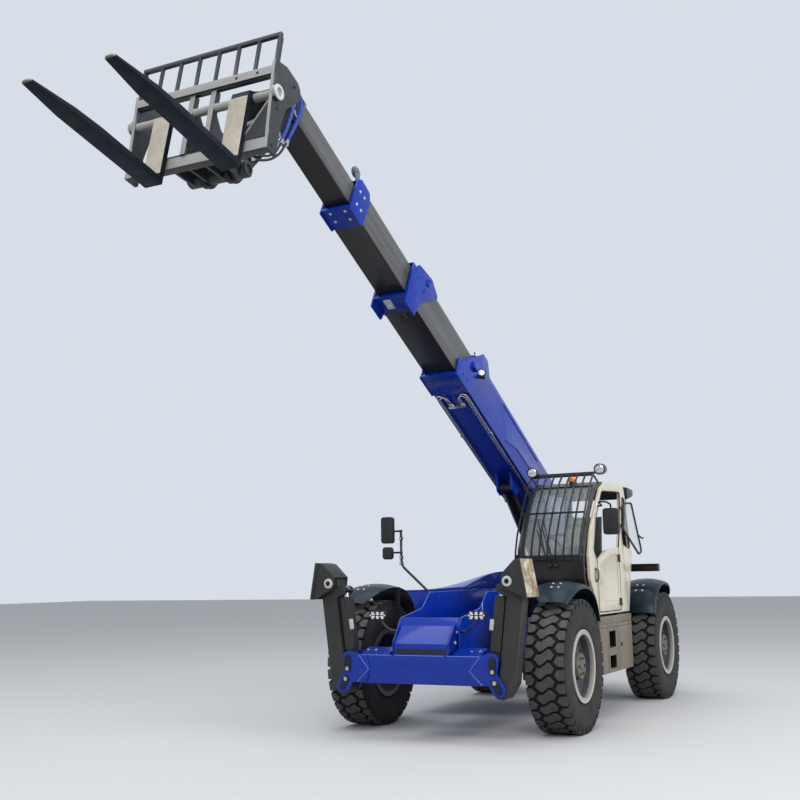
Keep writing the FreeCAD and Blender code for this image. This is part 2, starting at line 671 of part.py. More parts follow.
def stabilizer_barrel():
    half = 50
    guard = leg_plate([(RAM_UP + 70, RAM_OUT - half, 10), (RAM_UP + 70, RAM_OUT + half, 10),
                       (835, RAM_OUT + half - 4, 10), (835, RAM_OUT - half, 10)],
                      RAM_X - half, RAM_X + half)
    eye = leg_plate([(RAM_UP - 48, RAM_OUT - 48, 44), (RAM_UP - 48, RAM_OUT + 48, 44),
                     (RAM_UP + 80, RAM_OUT + 44), (RAM_UP + 80, RAM_OUT - 44)],
                    RAM_X - 40, RAM_X + 40)
    shape = fuse([guard, eye])
    shape = shape.cut(leg_rod((RAM_UP + 110, RAM_OUT), (900, RAM_OUT), RAM_X, 28 + SLIDE_GAP))
    y, z = RAM_PIN
    return shape.cut(rod(Vec(RAM_X - 60, y, z), Vec(RAM_X + 60, y, z), PIN_RADIUS + PIN_GAP))


def stabilizer_rod():
    bar = leg_rod((RAM_UP + 120, RAM_OUT), (RAM_EYE_UP, RAM_OUT), RAM_X, 28)
    eye_y, eye_z = leg_point(RAM_EYE_UP, RAM_OUT)
    eye = rod(Vec(RAM_X - 30, eye_y, eye_z), Vec(RAM_X + 30, eye_y, eye_z), 40)
    pin = rod(Vec(RAM_X - 50, eye_y, eye_z), Vec(RAM_X + 50, eye_y, eye_z), 20)
    return fuse([bar, eye, pin])


stabilizer_parts = [
    ("stabilizer_leg", "leg", stabilizer_leg), ("stabilizer_foot", "foot", stabilizer_foot),
    ("stabilizer_barrel", "ram", stabilizer_barrel), ("stabilizer_rod", "ram_rod", stabilizer_rod)]
for name, body, make in stabilizer_parts:
    shape = make()
    keep(name + "_left", body + "_left", shape)
    keep(name + "_right", body + "_right", mirrored(shape))


# Boom sections, from the outer one: start, end, half height, half width, wall

SECTIONS = [
    dict(name="boom_1", start=BOOM_TAIL, end=4600, high=240, wide=200, wall=10),
    dict(name="boom_2", start=960, end=5800, high=195, wide=172, wall=9),
    dict(name="boom_3", start=1880, end=6945, high=152.5, wide=144, wall=8),
    dict(name="boom_4", start=2800, end=7870, high=112.5, wide=116, wall=8)]

# Collar side plates, from corners (along, up, radius), with the plate's thickness
COLLARS = {
    "boom_1": ([(4600, -262, 10), (4520, -10, 40), (4262, 214, 20), (4112, 362, 30), (3985, 362, 40),
                (3862, 214, 20),
                (4040, 60, 60), (4270, -262, 20)], 12),
    "boom_2": ([(5800, -296, 12), (5800, 110, 20), (5700, 246, 30), (5420, 296, 40), (5230, 206, 30),
                (5540, -110, 60),
                (5585, -296, 20)], 12),
    "boom_3": ([(6945, -192, 10), (6945, 150, 20), (6900, 202, 20), (6730, 196, 30), (6690, 110, 20),
                (6705, -192, 20)], 10)}


def section(row):
    """A hollow box section, open at its front."""
    outer = block(row["start"], row["end"], -row["wide"], row["wide"], -row["high"], row["high"])
    wall = row["wall"]
    inner = block(row["start"] + wall, row["end"], -row["wide"] + wall, row["wide"] - wall,
                  -row["high"] + wall, row["high"] - wall)
    return outer.cut(inner)


def front_pads(row, inner):
    """Wear pads inside a section's front end, a little clear of the section that slides in it."""
    x1 = row["end"] - 20
    x0 = x1 - PAD_LENGTH
    wall = row["wall"]
    pads = [block(x0, x1, -inner["wide"] + 30, inner["wide"] - 30, -row["high"] + wall,
                  -inner["high"] - SLIDE_GAP)]
    top_x = x0 - 330 if row["name"] == "boom_1" else x0
    pads.append(block(top_x, top_x + PAD_LENGTH, -inner["wide"] + 30, inner["wide"] - 30,
                      inner["high"] + SLIDE_GAP, row["high"] - wall))
    for side in (-1, 1):
        y0 = side * (inner["wide"] + SLIDE_GAP)
        y1 = side * (row["wide"] - wall)
        pads.append(block(x0, x1, min(y0, y1), max(y0, y1), -row["high"] + wall, -row["high"] + wall + 90))
    return pads


def tail_pads(row, outer):
    """Wear pads round a section's tail, a little clear of the section round it."""
    x0 = row["start"] + 20
    x1 = x0 + PAD_LENGTH
    inside_high = outer["high"] - outer["wall"] - SLIDE_GAP
    inside_wide = outer["wide"] - outer["wall"] - SLIDE_GAP
    pads = []
    for side in (-1, 1):
        z0, z1 = side * row["high"], side * inside_high
        pads.append(block(x0, x1, -row["wide"] + 30, row["wide"] - 30, min(z0, z1), max(z0, z1)))
        y0, y1 = side * row["wide"], side * inside_wide
        pads.append(block(x0, x1, min(y0, y1), max(y0, y1), row["high"] - 90, row["high"]))
    return pads


def collar(row):
    """Side plates, top and bottom plates round a section's front end."""
    outline, thick = COLLARS[row["name"]]
    pieces = []
    for side in (-1, 1):
        y0, y1 = side * row["wide"], side * (row["wide"] + thick)
        pieces.append(prism("y", outline, min(y0, y1), max(y0, y1)))
    x_low = [c[0] for c in outline if c[1] < -100]
    pieces.append(block(min(x_low), max(x_low), -row["wide"], row["wide"], -row["high"] - 14, -row["high"]))
    return pieces


def boom_section(index):
    row = SECTIONS[index]
    pieces = [section(row)]
    if index < 3:
        pieces += front_pads(row, SECTIONS[index + 1])
        pieces += collar(row)
    if index > 0:
        pieces += tail_pads(row, SECTIONS[index - 1])
    return pieces


# Strips welded on the outer section's sides, as paths (along, up)
SIDE_STRIPS = [[(3400, 196), (2230, 196)], [(3180, -140), (2880, -40), (2350, -20)]]


def boom_outer():
    row = SECTIONS[0]
    pieces = boom_section(0)
    slant = prism("y", [(4700, -100), (4520, -10), (4262, 214), (4262, 260), (4262, 420), (4700, 420)],
                  -row["wide"] - 1, row["wide"] + 1)
    pieces = [fuse(pieces).cut(slant)]
    ear_in = LIFT_HALF + LIFT_EAR_GAP
    ex, ez = LIFT_EYE
    for side in (-1, 1):
        y0, y1 = side * row["wide"], side * (FRAME_HALF - FRAME_WALL - 6)
        pieces.append(rod(Vec(0, y0, 0), Vec(0, y1, 0), PIVOT_RADIUS + 20))
        y0, y1 = side * ear_in, side * (ear_in + 22)
        pieces.append(prism("y", [(ex - 200, -row["high"]), (ex - 60, ez - 70, 60), (ex + 60, ez - 70, 60),
                                  (ex + 170, -row["high"])], min(y0, y1), max(y0, y1)))
    for path in SIDE_STRIPS:
        for side in (-1, 1):
            y0, y1 = side * row["wide"], side * (row["wide"] + 8)
            pieces.append(prism("y", strip(path, 26, 120), min(y0, y1), max(y0, y1)))
    pieces.append(tube(Vec(0, -row["wide"], 0), Vec(0, row["wide"], 0), PIVOT_RADIUS,
                       BOOM_PIN_RADIUS + PIN_GAP))
    pieces.append(rod(Vec(ex, -ear_in - 22, ez), Vec(ex, ear_in + 22, ez), PIN_RADIUS + 10))
    whole = fuse(pieces)
    bore = rod(Vec(0, -400, 0), Vec(0, 400, 0), BOOM_PIN_RADIUS + PIN_GAP)
    return whole.cut(bore)


def head():
    """Goose neck under the end of the inner section, with the carriage pivot's bosses."""
    px, pz = HEAD_PIVOT
    start = HEAD_START
    outline = [(start, 125), (8040, 125, 70), (8205, -60, 120), (px + 78, pz + 60, 60),
               (px + 40, pz - 92, 80),
               (px - 92, pz - 40, 80), (7990, -420, 200), (7930, -125, 60), (start, -125)]
    pieces = []
    for side in (-1, 1):
        y0, y1 = side * HEAD_IN, side * HEAD_OUT
        pieces.append(prism("y", outline, min(y0, y1), max(y0, y1)))
        y0, y1 = side * (HEAD_IN - 16), side * (HEAD_OUT + 6)
        pieces.append(rod(Vec(px, y0, pz), Vec(px, y1, pz), HEAD_BOSS))
        y0, y1 = side * 52, side * HEAD_IN
        pieces.append(rod(Vec(TILT_BASE[0], y0, TILT_BASE[1]), Vec(TILT_BASE[0], y1, TILT_BASE[1]), 42))
    pieces.append(prism("y", [(7870, 125), (8040, 125, 70), (8160, -10), (8148, -18), (8034, 112, 64),
                              (7870, 112)],
                        -HEAD_IN, HEAD_IN))
    pieces.append(prism("y", [(7990, -430), (8214, -1080), (8226, -1076), (8003, -430)], -HEAD_IN, HEAD_IN))
    return pieces


boom_shapes = [boom_outer(), fuse(boom_section(1)), fuse(boom_section(2)), None]
inner = fuse(boom_section(3))
bar = rod(Vec(TILT_BASE[0], -HEAD_IN, TILT_BASE[1]), Vec(TILT_BASE[0], HEAD_IN, TILT_BASE[1]), 24)
head_shape = fuse([inner] + head() + [bar])
head_bore = rod(Vec(HEAD_PIVOT[0], -200, HEAD_PIVOT[1]), Vec(HEAD_PIVOT[0], 200, HEAD_PIVOT[1]),
                40 + PIN_GAP)
boom_shapes[3] = head_shape.cut(head_bore)
for row, shape in zip(SECTIONS, boom_shapes):
    keep(row["name"], row["name"], on_boom(shape))


# Steel pipes along the boom's underside

def boom_pipes():
    low = -SECTIONS[0]["high"] - 26
    pieces = []
    for side in (-1, 1):
        for offset in (150, 172):
            y = side * offset
            pieces.append(rod(Vec(420, y, low), Vec(4180, y, low), 9))
    for x in (700, 2100, 3500):
        for side in (-1, 1):
            y0, y1 = side * 138, side * 184
            pieces.append(block(x, x + 50, min(y0, y1), max(y0, y1), low - 12, -SECTIONS[0]["high"]))
    return pieces


keep("boom_pipes", "boom_1", on_boom(group([fuse([p for p in boom_pipes() if p.BoundBox.YMax * side > 0])
                                            for side in (-1, 1)])))


# Lift cylinder: barrel on the boom, rod down to the chassis

def between(start, end, distance):
    """The point at a distance from start towards end, both as (x, z)."""
    length = hypot(end[0] - start[0], end[1] - start[1])
    return (start[0] + (end[0] - start[0]) * distance / length,
            start[1] + (end[1] - start[1]) * distance / length)


def line_rod(start, end, d0, d1, radius):
    """A round bar on the line from start to end in the plane Y = 0, between two distances."""
    (x0, z0), (x1, z1) = between(start, end, d0), between(start, end, d1)
    return rod(Vec(x0, 0, z0), Vec(x1, 0, z1), radius)


LIFT_TOP = boom_point(*LIFT_EYE)
LIFT_LENGTH = hypot(LIFT_TOP[0] - LIFT_BASE[0], LIFT_TOP[1] - LIFT_BASE[1])


def lift_barrel():
    x, z = LIFT_TOP
    eye = rod(Vec(x, -LIFT_HALF, z), Vec(x, LIFT_HALF, z), LIFT_EYE_RADIUS)
    barrel = line_rod(LIFT_TOP, LIFT_BASE, 40, LIFT_BARREL_LENGTH, LIFT_BARREL_RADIUS)
    shape = fuse([eye, barrel])
    shape = shape.cut(line_rod(LIFT_TOP, LIFT_BASE, 150, LIFT_BARREL_LENGTH + 10,
                               LIFT_ROD_RADIUS + SLIDE_GAP))
    return shape.cut(rod(Vec(x, -200, z), Vec(x, 200, z), PIN_RADIUS + 10 + PIN_GAP))


def lift_rod():
    x, z = LIFT_BASE
    bar = line_rod(LIFT_TOP, LIFT_BASE, LIFT_ROD_START, LIFT_LENGTH, LIFT_ROD_RADIUS)
    eye = rod(Vec(x, -LIFT_HALF + 6, z), Vec(x, LIFT_HALF - 6, z), LIFT_EYE_RADIUS)
    pin = rod(Vec(x, -LIFT_HALF - 8, z), Vec(x, LIFT_HALF + 8, z), PIN_RADIUS + 10)
    return fuse([bar, eye, pin])


keep("lift_barrel", "lift_barrel", lift_barrel())
keep("lift_rod", "lift_rod", lift_rod())

TILT_TOP = boom_point(*TILT_BASE)
TILT_END = carriage_point(*TILT_LUG)
TILT_LENGTH = hypot(TILT_TOP[0] - TILT_END[0], TILT_TOP[1] - TILT_END[1])


def tilt_barrel():
    x, z = TILT_TOP
    eye = rod(Vec(x, -46, z), Vec(x, 46, z), 48)
    barrel = line_rod(TILT_TOP, TILT_END, 30, TILT_BARREL_LENGTH, 46)
    shape = fuse([eye, barrel])
    shape = shape.cut(line_rod(TILT_TOP, TILT_END, 110, TILT_BARREL_LENGTH + 10, 27 + SLIDE_GAP))
    return shape.cut(rod(Vec(x, -100, z), Vec(x, 100, z), 24 + PIN_GAP))


def tilt_rod():
    x, z = TILT_END
    bar = line_rod(TILT_TOP, TILT_END, TILT_ROD_START, TILT_LENGTH, 27)
    eye = rod(Vec(x, -38, z), Vec(x, 38, z), 44)
    pin = rod(Vec(x, -50, z), Vec(x, 50, z), 22)
    return fuse([bar, eye, pin])


keep("tilt_barrel", "tilt_barrel", tilt_barrel())
keep("tilt_rod", "tilt_rod", tilt_rod())


# Fork carriage, backrest and forks, in the carriage's frame: forward and up

def carriage():
    half = CARRIAGE_HALF
    side = prism("y", [(-36, 790), (-36, 850, 10), (-180, 884, 60), (-372, 850, 90), (-390, 740, 60),
                       (-236, 560, 80),
                       (-206, 400, 40), (-206, 150, 10), (-80, 150, 10),
                       (-80, 240)], half - SIDE_PLATE, half)
    pieces = [side, mirrored(side)]
    inner = half - SIDE_PLATE
    pieces.append(block(-96, -36, -inner, inner, 735, 803))
    pieces.append(block(-150, -80, -inner, inner, 150, 236))
    pieces.append(block(-150, -138, -inner, inner, 236, 300))
    for y in (-95, 95):
        pieces.append(block(-112, -60, y - 22, y + 22, 236, 735))
    px, pz = CARRIAGE_PIVOT
    lx, lz = TILT_LUG
    for way in (-1, 1):
        y0, y1 = way * 60, way * 80
        pieces.append(prism("y", [(px - 62, pz - 20, 60), (px - 40, pz + 60, 40), (lx - 60, lz - 10, 40),
                                  (lx - 40, lz + 62, 50), (lx + 50, lz + 58, 40), (-112, 640), (-112, 236),
                                  (-150, 150),
                                  (px + 20, pz - 66, 60)], min(y0, y1), max(y0, y1)))
        y0, y1 = way * 190, way * 212
        pieces.append(prism("y", [(px - 62, pz + 10, 60), (px - 10, pz + 80, 50), (-150, 300), (-150, 150),
                                  (px + 10, pz - 66, 60)], min(y0, y1), max(y0, y1)))
        y0, y1 = way * (HEAD_OUT + 14), way * 250
        pieces.append(rod(Vec(px, y0, pz), Vec(px, y1, pz), 64))
    pieces.append(rod(Vec(px, -240, pz), Vec(px, 240, pz), 40))
    pieces.append(rod(Vec(px, -HEAD_IN + 20, pz), Vec(px, HEAD_IN - 20, pz), 62))
    sx, sz = SHAFT_AT
    pieces.append(rod(Vec(sx, -half - 26, sz), Vec(sx, half + 26, sz), SHAFT_RADIUS))
    for way in (-1, 1):
        y0, y1 = way * half, way * (half + 26)
        pieces.append(rod(Vec(sx, y0, sz), Vec(sx, y1, sz), 56))
    whole = fuse(pieces)
    return whole


def backrest():
    top = BACKREST_TOP
    half = CARRIAGE_HALF
    bar = 22
    pieces = [block(-80, -50, -half, half, top - 30, top)]
    count = 7
    for i in range(count + 1):
        y = -half + bar / 2 + i * (2 * half - bar) / count
        depth = -90 if i in (0, count) else -72
        pieces.append(block(depth, -50, y - bar / 2, y + bar / 2, 803, top - 30))
    return fuse(pieces)


def fork(y):
    """One pallet fork: a blade with a tapered tip, a shank and the eye round the shaft."""
    half = FORK_WIDTH / 2
    tip = FORK_TIP_WIDTH / 2
    plan = prism("z", [(-FORK_THICK, y - half), (850, y - half, 200), (FORK_LENGTH, y - tip, 30),
                       (FORK_LENGTH, y + tip, 30), (850, y + half, 200), (-FORK_THICK, y + half)],
                 0, FORK_THICK)
    wedge = prism("y", [(600, FORK_THICK + 1), (FORK_LENGTH + 1, FORK_THICK + 1), (FORK_LENGTH + 1, 14),
                        (600, FORK_THICK)], y - half - 1, y + half + 1)
    sx, sz = SHAFT_AT
    shank = prism("y", [(-FORK_THICK, 0), (0, 0), (0, sz - 40, 20), (sx + 46, sz + 10),
                        (-FORK_THICK, sz - 20)], y - half, y + half)
    eye = rod(Vec(sx, y - half, sz), Vec(sx, y + half, sz), SHAFT_RADIUS + 18)
    neck = prism("y", [(-FORK_THICK, sz - 60), (-6, sz - 60), (-20, sz + 20), (sx, sz + 48), (sx, sz - 48),
                       (-FORK_THICK - 20, sz - 48)], y - half, y + half)
    whole = fuse([plan.cut(wedge), shank, eye, neck])
    return whole.cut(rod(Vec(sx, y - 200, sz), Vec(sx, y + 200, sz), SHAFT_RADIUS + PIN_GAP))


keep("carriage", "carriage", on_carriage(fuse([carriage(), backrest()])))
keep("forks", "carriage", on_carriage(group([fork(FORK_LEFT_Y), fork(FORK_RIGHT_Y)])))


# Cab: the outline seen from the left, as (X, Z, radius)

CAB_OUTLINE = [
    (-920, CAB_FLOOR, 0), (-738, 1270, 60), (-612, 1450, 80), (-600, 1640, 60), (-640, 1790, 200),
    (-880, 2172, 300),
    (-1110, 2440, 160), (-1330, 2520, 120), (-2330, 2520, 60), (-2350, 1720, 40), (-2130, CAB_FLOOR, 0)]


def inset(corners, gap):
    """The same outline pulled in by a gap; the corners run clockwise seen from the left."""
    result = []
    for i, corner in enumerate(corners):
        a, b = corner[0], corner[1]
        before = corners[i - 1]
        after = corners[(i + 1) % len(corners)]
        d1 = atan2(b - before[1], a - before[0])
        d2 = atan2(after[1] - b, after[0] - a)
        turn = (d2 - d1 + pi) % (2 * pi) - pi
        way = d1 + turn / 2
        reach = gap / cos(turn / 2)
        result.append((a - sin(way) * reach, b + cos(way) * reach,
                       max(corner[2] - gap, 0) if corner[2] else 0))
    return result


FRONT_WINDOW = [(-500, 1716), (-500, 2500), (-1150, 2500), (-1250, 2440), (-700, 1716)]
FRONT_WINDOW_Y = (CAB_RIGHT + 56, CAB_LEFT - DOOR_THICK - 40)
ROOF_WINDOW = (-2100, -1380, CAB_RIGHT + 90, CAB_LEFT - DOOR_THICK - 80)
RIGHT_WINDOW = [(-760, 1860, 100), (-960, 2180, 100), (-1220, 2420, 60), (-2210, 2420, 80),
                (-2210, 1716, 60),
                (-780, 1716, 30)]


def cab():
    y0, y1 = CAB_RIGHT, CAB_LEFT - DOOR_THICK
    wall = CAB_WALL
    outer = prism("y", CAB_OUTLINE, y0, y1)
    inner = prism("y", inset(CAB_OUTLINE, wall), y0 + wall, y1 + 1)
    shell = outer.cut(inner)
    front = prism("y", FRONT_WINDOW, *FRONT_WINDOW_Y)
    roof = block(*ROOF_WINDOW, 2400, 2600)
    right = prism("y", RIGHT_WINDOW, y0 - 5, y0 + wall + 5)
    rear = block(-2400, -2250, y0 + 70, y1 - 60, 1780, 2400)
    return shell.cut(fuse([front]).multiFuse([roof, right, rear]))


def roof_cap():
    """Rear overhang of the cab's roof."""
    return prism("y", [(-2320, 2520), (-2600, 2500, 20), (-2590, 2430, 20), (-2340, 2380)], CAB_RIGHT + 20,
                 CAB_LEFT - 20)


SIDE_OUTLINE = [
    (-930, CAB_FLOOR, 0), (-850, 1270, 60), (-716, 1456, 80), (-706, 1700, 60), (-800, 1950, 150),
    (-968, 2172, 200),
    (-1210, 2440, 160), (-1400, 2518, 100), (-2110, 2518, 90), (-2160, 2380, 60), (-2340, 1716, 30),
    (-2130, CAB_FLOOR, 0)]
DOOR_OPENING = [
    (-985, CAB_FLOOR + 24, 40), (-985, 1640, 30), (-862, 1764, 60), (-1010, 2130, 200), (-1240, 2410, 120),
    (-1960, 2440, 60), (-1885, 2000, 60), (-1812, 1800, 20), (-1812, CAB_FLOOR + 24, 30)]
DOOR_OUTLINE = [
    (-985 - DOOR_GAP, CAB_FLOOR + 24 + DOOR_GAP, 40), (-985 - DOOR_GAP, 1640, 40), (-1330, 1770, 500),
    (-1812 + DOOR_GAP, 1806, 20), (-1812 + DOOR_GAP, CAB_FLOOR + 24 + DOOR_GAP, 30)]
QUARTER_WINDOW = [(-1990, 1840, 40), (-2270, 1790, 30), (-2120, 2370, 40), (-2030, 2390, 30),
                  (-1950, 2010, 80)]


def cab_side():
    y0, y1 = CAB_LEFT - DOOR_THICK, CAB_LEFT
    plate = prism("y", SIDE_OUTLINE, y0, y1)
    opening = prism("y", DOOR_OPENING, y0 - 5, y1 + 5)
    window = prism("y", QUARTER_WINDOW, y0 - 5, y1 + 5)
    return plate.cut(opening).cut(window)


def cab_door():
    y0, y1 = CAB_LEFT - DOOR_THICK, CAB_LEFT
    panel = prism("y", DOOR_OUTLINE, y0, y1)
    recess = prism("y", [(-1060, CAB_FLOOR + 130, 60), (-1060, 1560, 60), (-1400, 1700, 300),
                         (-1740, 1730, 40),
                         (-1740, CAB_FLOOR + 130, 60)], y1 - 8, y1 + 1)
    shape = panel.cut(recess)
    hx, hy = DOOR_HINGE
    knuckles = []
    for z in (1190, 1640):
        knuckles.append(rod(Vec(hx, hy, z), Vec(hx, hy, z + 70), 12))
        knuckles.append(block(hx, hx + 50, y1, y1 + 8, z, z + 70))
    handle = block(-1085, -1040, y1 - 8, y1 + 26, 1420, 1560)
    return fuse([shape] + knuckles + [handle])


def door_leaf():
    """Upper glass leaf of the door, folded back along the cab's side on its own hinges."""
    y0 = CAB_LEFT + 16
    frame = [(-1950, 2010, 40), (-2010, 2310, 30), (-2330, 2330, 60), (-2700, 1765, 40), (-2560, 1740, 40)]
    outer = prism("y", frame, y0, y0 + 18)
    hole = prism("y", [(-1990, 2030, 30), (-2040, 2280, 20), (-2310, 2296, 40), (-2640, 1795, 30),
                       (-2570, 1780, 20)],
                 y0 - 1, y0 + 19)
    pane = prism("y", [(-1990, 2030, 30), (-2040, 2280, 20), (-2310, 2296, 40), (-2640, 1795, 30),
                       (-2570, 1780, 20)],
                 y0 + 6, y0 + 12)
    hinge_1 = block(-2030, -1975, CAB_LEFT, y0 + 4, 2250, 2300)
    hinge_2 = block(-1995, -1955, CAB_LEFT, y0 + 4, 2030, 2070)
    shape = fuse([outer.cut(hole), pane, hinge_1, hinge_2])
    return shape


keep("cab", "chassis", fuse([cab(), roof_cap()]))
keep("cab_side", "chassis", cab_side())
keep("cab_door", "cab_door", cab_door())
keep("door_leaf", "chassis", door_leaf())


# Guard of bars over the windscreen

GUARD_PATH = [(-520, 1662), (-535, 1760), (-600, 1930), (-800, 2240), (-1010, 2500), (-1120, 2590)]


def screen_guard():
    bars = []
    count = 9
    y0, y1 = CAB_RIGHT + 14, CAB_LEFT - 46
    for i in range(count):
        y = y0 + (y1 - y0) * i / (count - 1)
        bars.append(prism("y", strip(GUARD_PATH, GUARD_DEPTH, 160), y - GUARD_BAR / 2, y + GUARD_BAR / 2))
    for x, z in ((-537, 1690), (-745, 2160), (-1112, 2580)):
        bars.append(block(x - 10, x + 10, y0, y1, z - 10, z + 10))
    for y in (y0, y1):
        for path in ([(-540, 1712), (-640, 1712)], [(-1106, 2586), (-1300, 2500)]):
            bars.append(prism("y", strip(path, 24), y - GUARD_BAR / 2, y + GUARD_BAR / 2))
    return fuse(bars)


guard = screen_guard().cut(parts["cab"])
keep("screen_guard", "chassis", guard)


# Seat and steering column

def seat():
    y0, y1 = 500, 960
    cushion = prism("y", [(-1330, 1480, 30), (-1330, 1570, 50), (-1800, 1560, 30), (-1800, 1470, 30)], y0,
                    y1)
    back = prism("y", [(-1760, 1560), (-1700, 1600), (-1790, 2180, 40), (-1890, 2180, 40),
                       (-1870, 1500, 30),
                       (-1760, 1500)], y0 + 10, y1 - 10)
    base = block(-1740, -1400, y0 + 60, y1 - 60, CAB_FLOOR + CAB_WALL, 1480)
    return fuse([cushion, back, base])


def steering():
    base = prism("y", [(-700, 1560, 20), (-700, 1690, 20), (-860, 1720, 30), (-1040, 1500, 20)], 600, 860)
    foot = block(-1060, -940, 640, 820, CAB_FLOOR + CAB_WALL, 1530)
    column = rod(Vec(-860, 730, 1650), Vec(-1040, 730, 1800), 34)
    sides = 6
    angles = [2 * pi * i / sides for i in range(sides)]
    ring = [(WHEEL_RADIUS + 15 * cos(angle), 15 * sin(angle)) for angle in angles]
    wheel = turned(ring, 0, 0)
    wheel.rotate(Vec(0, 0, 0), Vec(1, 0, 0), 90)
    wheel.rotate(Vec(0, 0, 0), Vec(0, 1, 0), -50)
    wheel.translate(Vec(-1040, 730, 1800))
    spoke = rod(Vec(-1040, 560, 1800), Vec(-1040, 900, 1800), 12)
    return fuse([base, foot, column, wheel, spoke])


keep("seat", "chassis", seat())
keep("steering_column", "chassis", steering())


# Engine bay on the right with a hood that lifts on the boom's side

def hood_outline(lift):
    """Hood seen from the right, as (X, Z, radius)."""
    return [(BAY_REAR, BAY_TOP + HOOD_GAP), (BAY_REAR, 1480 - lift, 60), (BAY_REAR + 380, 1552 - lift, 200),
            (BAY_FRONT - 60, 1392 - lift, 60), (BAY_FRONT, BAY_TOP + HOOD_GAP)]


def hood():
    inner_y = -FRAME_HALF - 40
    outer = prism("y", hood_outline(0), BAY_OUT, inner_y)
    slope = prism("x", [(BAY_OUT - 1, BAY_TOP + 60), (BAY_OUT + 90, 1700), (BAY_OUT - 200, 1700),
                        (BAY_OUT - 200, BAY_TOP + 60)], BAY_REAR - 10, BAY_FRONT + 10)
    outer = outer.cut(slope)
    hollow = prism("y", hood_outline(HOOD_WALL), BAY_OUT + 100, inner_y - HOOD_WALL)
    trimmed = hollow.common(block(BAY_REAR + HOOD_WALL, BAY_FRONT - HOOD_WALL * 4, BAY_OUT, 0, 1000, 2000))
    shell = outer.cut(trimmed)
    hinge = []
    for x in (BAY_FRONT - 260, BAY_REAR + 260):
        hinge.append(rod(Vec(x, HOOD_HINGE[0], HOOD_HINGE[1]), Vec(x + 90, HOOD_HINGE[0], HOOD_HINGE[1]),
                         11))
        hinge.append(block(x, x + 90, inner_y - 2, HOOD_HINGE[0], HOOD_HINGE[1] - 5, HOOD_HINGE[1] + 5))
    return fuse([shell] + hinge)


HOOD_HINGE = (-FRAME_HALF - 24, BAY_TOP + 12)


def engine_bay():
    outer = block(BAY_REAR, BAY_FRONT, BAY_OUT, -FRAME_HALF, BAY_LOW, BAY_TOP)
    wall = BAY_WALL
    inner = block(BAY_REAR + wall, BAY_FRONT - wall, BAY_OUT + wall, -FRAME_HALF - wall, BAY_LOW + wall,
                  BAY_TOP + 1)
    slots = []
    for row in range(LOUVRE_ROWS):
        z = BAY_LOW + 250 + row * 62
        for x in (BAY_REAR + 160, (BAY_REAR + BAY_FRONT) / 2 + 40):
            slots.append(prism("y", [(x, z, 15), (x + 560, z, 15), (x + 560, z + 34, 15), (x, z + 34, 15)],
                               BAY_OUT - 1, BAY_OUT + wall + 1))
    return outer.cut(inner).cut(slots)


def engine():
    block_shape = block(BAY_REAR + 240, BAY_FRONT - 290, -1000, -480, BAY_LOW + BAY_WALL + 60, 1240)
    feet = []
    for x in (BAY_REAR + 340, BAY_FRONT - 440):
        for y in (-940, -580):
            feet.append(block(x, x + 80, y, y + 60, BAY_LOW + BAY_WALL, BAY_LOW + BAY_WALL + 60))
    return fuse([block_shape] + feet)


keep("engine_bay", "chassis", engine_bay())
keep("engine", "chassis", engine())
keep("hood", "hood", hood())


# Step box under the cab with two steps cut in it

def skirt():
    outer = block(SKIRT_REAR, SKIRT_FRONT, FRAME_HALF, CAB_LEFT, SKIRT_LOW, SKIRT_TOP)
    cuts = []
    for z0, z1 in ((500, 640), (720, 900)):
        cuts.append(block(-1530, -1290, CAB_LEFT - 160, CAB_LEFT + 1, z0, z1))
    hollow = block(SKIRT_REAR + 10, SKIRT_FRONT - 10, FRAME_HALF - 1, CAB_LEFT - 180, SKIRT_LOW + 10,
                   SKIRT_TOP - 10)
    grooves = [block(x, x + 10, CAB_LEFT - 8, CAB_LEFT + 1, SKIRT_LOW - 1, 985) for x in (-1250, -1580)]
    grooves.append(block(SKIRT_REAR - 1, SKIRT_FRONT + 1, CAB_LEFT - 8, CAB_LEFT + 1, 975, 985))
    shape = outer.cut([hollow] + cuts + grooves)
    feet = [rod(Vec(x, y, SKIRT_TOP), Vec(x, y, CAB_FLOOR), 40) for x in (SKIRT_FRONT - 150,
                                                                          SKIRT_REAR + 190) for y in (430,
                                                                                                      1010)]
    return fuse([shape] + feet)


keep("skirt", "chassis", skirt())


# Glass panes of the cab

def cab_glass():
    y0, y1 = CAB_RIGHT, CAB_LEFT - DOOR_THICK
    wall = CAB_WALL
    gap = GLASS_GAP
    bend = prism("y", inset(CAB_OUTLINE, wall / 2 - GLASS / 2), y0, y1)
    core = prism("y", inset(CAB_OUTLINE, wall / 2 + GLASS / 2), y0, y1)
    zone = prism("y", inset([c + (0,) for c in FRONT_WINDOW], gap), FRONT_WINDOW_Y[0] + gap,
                 FRONT_WINDOW_Y[1] - gap)
    screen = bend.cut(core).common(zone)
    rx0, rx1, ry0, ry1 = ROOF_WINDOW
    roof = block(rx0 + gap, rx1 - gap, ry0 + gap, ry1 - gap, 2520 - wall / 2, 2520 - wall / 2 + GLASS)
    right = prism("y", inset(RIGHT_WINDOW, gap), y0 + 16, y0 + 16 + GLASS)
    return group([screen, roof, right])


keep("cab_glass", "chassis", cab_glass())


# Lamps: round work lamps on the cab's guard bar, the beacon and the two front clusters on stalks

